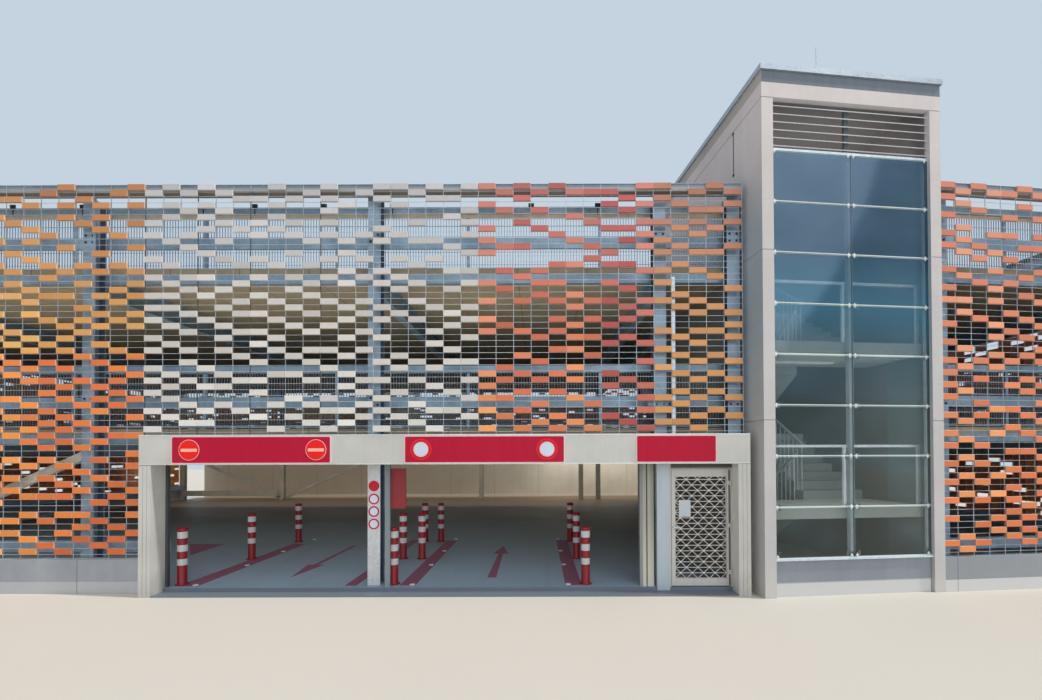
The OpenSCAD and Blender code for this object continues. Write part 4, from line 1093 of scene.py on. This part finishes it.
# Gate: rosettes on the crossings, a blank notice, the casing, dark strips of painted shade over the leaf and
# at its hinge side
GRILLE_X0 = 2.623
GRILLE_Z0 = 0.22
GRILLE_W = 0.884
GRILLE_H = 1.75
CROSS_W = 0.098
CROSS_H = 0.094
ROSETTE = [(0.0, 0.0), (0.016, 0.0), (0.016, 0.003), (0.009, 0.008), (0.0, 0.01)]
rosettes = Batch()
for j in range(1, 19):
    for i in range(0, 10):
        x = i * CROSS_W
        z = j * CROSS_H
        if (i + j) % 2 == 0 and 0.02 < x < GRILLE_W - 0.02 and z < GRILLE_H - 0.02:
            rosettes.lathe((GRILLE_X0 + x, -0.0109, GRILLE_Z0 + z), (0, -1, 0), ROSETTE, 12)
rosettes.build("gate_rosettes", TRIM_LOOK, "steel_fittings", body="gate")
Batch().plate(rounded(2.69, 2.89, 1.275, 1.56, 0.004, 2), 0.022, 0.025).build(
    "gate_notice", painted("notice_sheet", (186, 196, 202), 0.55, (160, 166, 168), 0.3),
    "light_metal", body="gate")
casing = Batch().tray(FRONT, 2.306, 2.5285, -0.119, 0.052, SLAB + 0.001, LINTEL_LOW - 0.001, 0.006)
casing.tray(FRONT, 2.306, 2.5285, 0.0305, 0.0525, 0.021, SLAB + 0.02, 0.006).build(
    "gate_post_casing", painted("casing_sheet", (176, 188, 198), 0.4, (150, 156, 160), 0.3, 0.15),
    "portal_cladding")
# Painted shade: a dark strip in the shadowed slot over the leaf.
Batch().tray(FRONT, 2.552, 3.599, 0.0301, 0.0345, 2.112, LINTEL_LOW - 0.001, 0.001).build(
    "gate_head_shade_strip", GAP_SHADE_LOOK, "dark_steel")
# Painted shade: a dark strip in the shadowed gap at the hinge side, riding with the gate.
Batch().tray(FRONT, 3.538, 3.562, 0.0301, 0.0335, 0.115, 2.075, 0.001).build(
    "gate_hinge_shade_strip", GAP_SHADE_LOOK, "dark_steel", body="gate")

# Camera
data = bpy.data.cameras.new("camera")
data.lens = 17.0
data.sensor_width = 36.0
data.shift_x = -0.01651
data.shift_y = 0.09377
camera = bpy.data.objects.new("camera", data)
turn = Matrix.Identity(4)
for degrees, axis in ((0.020, "Z"), (0.683, "X"), (0.159, "Y"), (90.0, "X")):
    turn = turn @ Matrix.Rotation(math.radians(degrees), 4, axis)
camera.matrix_world = Matrix.Translation((0.28696, -8.46439, 2.36324)) @ turn
scene.collection.objects.link(camera)
scene.camera = camera

# World: pale light all round, and a pale plain background where it is seen or mirrored
scene.view_settings.view_transform = "Standard"
scene.world = bpy.data.worlds.new("studio")
scene.world.use_nodes = True
nodes = Nodes(scene.world.node_tree)
nodes.tree.nodes.clear()
rays = nodes.node("ShaderNodeLightPath").outputs
seen = nodes.math("MAXIMUM", rays["Is Camera Ray"], rays["Is Glossy Ray"])
seen = nodes.math("MAXIMUM", seen, rays["Is Transmission Ray"])
light, plain = [nodes.node("ShaderNodeBackground", ("Color", colour), ("Strength", strength)).outputs[0]
                for colour, strength in (((236, 243, 253), 0.52), ((196, 211, 223), 1.0))]
blend = nodes.node("ShaderNodeMixShader", (0, seen), (1, light), (2, plain))
nodes.node("ShaderNodeOutputWorld", ("Surface", blend.outputs[0]))


# Lamps: a high sun from the right, a wide fill from the front, soft lamps for light thrown back inside
def add_lamp(name, kind, energy, colour, back):
    """A lamp that shines against the direction back."""
    data = bpy.data.lights.new(name, kind)
    data.energy = energy
    data.color = colour
    lamp = bpy.data.objects.new(name, data)
    lamp.rotation_euler = Vector(back).to_track_quat("Z", "Y").to_euler()
    scene.collection.objects.link(lamp)
    return lamp


WARM = (1.0, 0.95, 0.86)
add_lamp("sun", "SUN", 2.2, (1.0, 0.975, 0.94), (0.63, -0.09, 0.775)).data.angle = math.radians(3)
add_lamp("front_fill", "SUN", 1.05, (0.98, 0.985, 1.0), (0.25, -1.0, 0.58)).data.angle = math.radians(60)
for name, power, size_x, size_y, centre, towards, colour in (
        ("storey_1_bounce", 156.0, 20.0, 1.0, (-7.8, 1.3, 2.95), (0, 0.05, 1), WARM),
        ("ground_bounce", 60.0, 18.0, 1.0, (-8.6, 0.9, 0.2), (0, 0.05, 1), WARM),
        ("parking_light", 105.0, 17.0, 8.0, (-7.6, 4.6, 2.28), (0, 0, -1), (0.96, 0.98, 1.0)),
        ("rear_light", 110.0, 20.0, 1.2, (-7.0, 12.8, 1.7), (0, 1, -0.05), (1.0, 0.98, 0.92)),
        ("light_well", 50.0, 7.0, 0.9, (3.9, 17.2, 2.66), (0, 0.35, -1), (1.0, 0.98, 0.94)),
        ("glazing_light", 70.0, 2.8, 6.6, WING.at(1.625, 0.086, 4.0), WING_Y, (0.97, 1.0, 1.0)),
        ("stair_light", 110.0, 2.6, 6.4, WING.at(1.62, 0.2, 4.0), WING_Y, (1.0, 0.99, 0.96))):
    lamp = add_lamp(name, "AREA", power, colour, -Vector(towards))
    lamp.data.shape = "RECTANGLE"
    lamp.data.size = size_x
    lamp.data.size_y = size_y
    lamp.location = centre
    lamp.visible_camera = False
    lamp.visible_glossy = False

# Plain pale floor
REACH = 70.0
floor_mesh = bpy.data.meshes.new("studio_floor")
floor_mesh.from_pydata([(-REACH, -REACH, 0), (REACH, -REACH, 0), (REACH, REACH, 0), (-REACH, REACH, 0)], [],
                       [(0, 1, 2, 3)])
pale = Look("studio_floor", (212, 206, 195), 0.9)
pale.shade(pale.noise(0.3), 0.97, 1.02)
floor_mesh.materials.append(pale.done())
studio_floor = bpy.data.objects.new("studio_floor", floor_mesh)
studio_floor.location = (0, 0, -0.002)
scene.collection.objects.link(studio_floor)
studio_floor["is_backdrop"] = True

bpy.context.view_layer.update()
low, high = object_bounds()
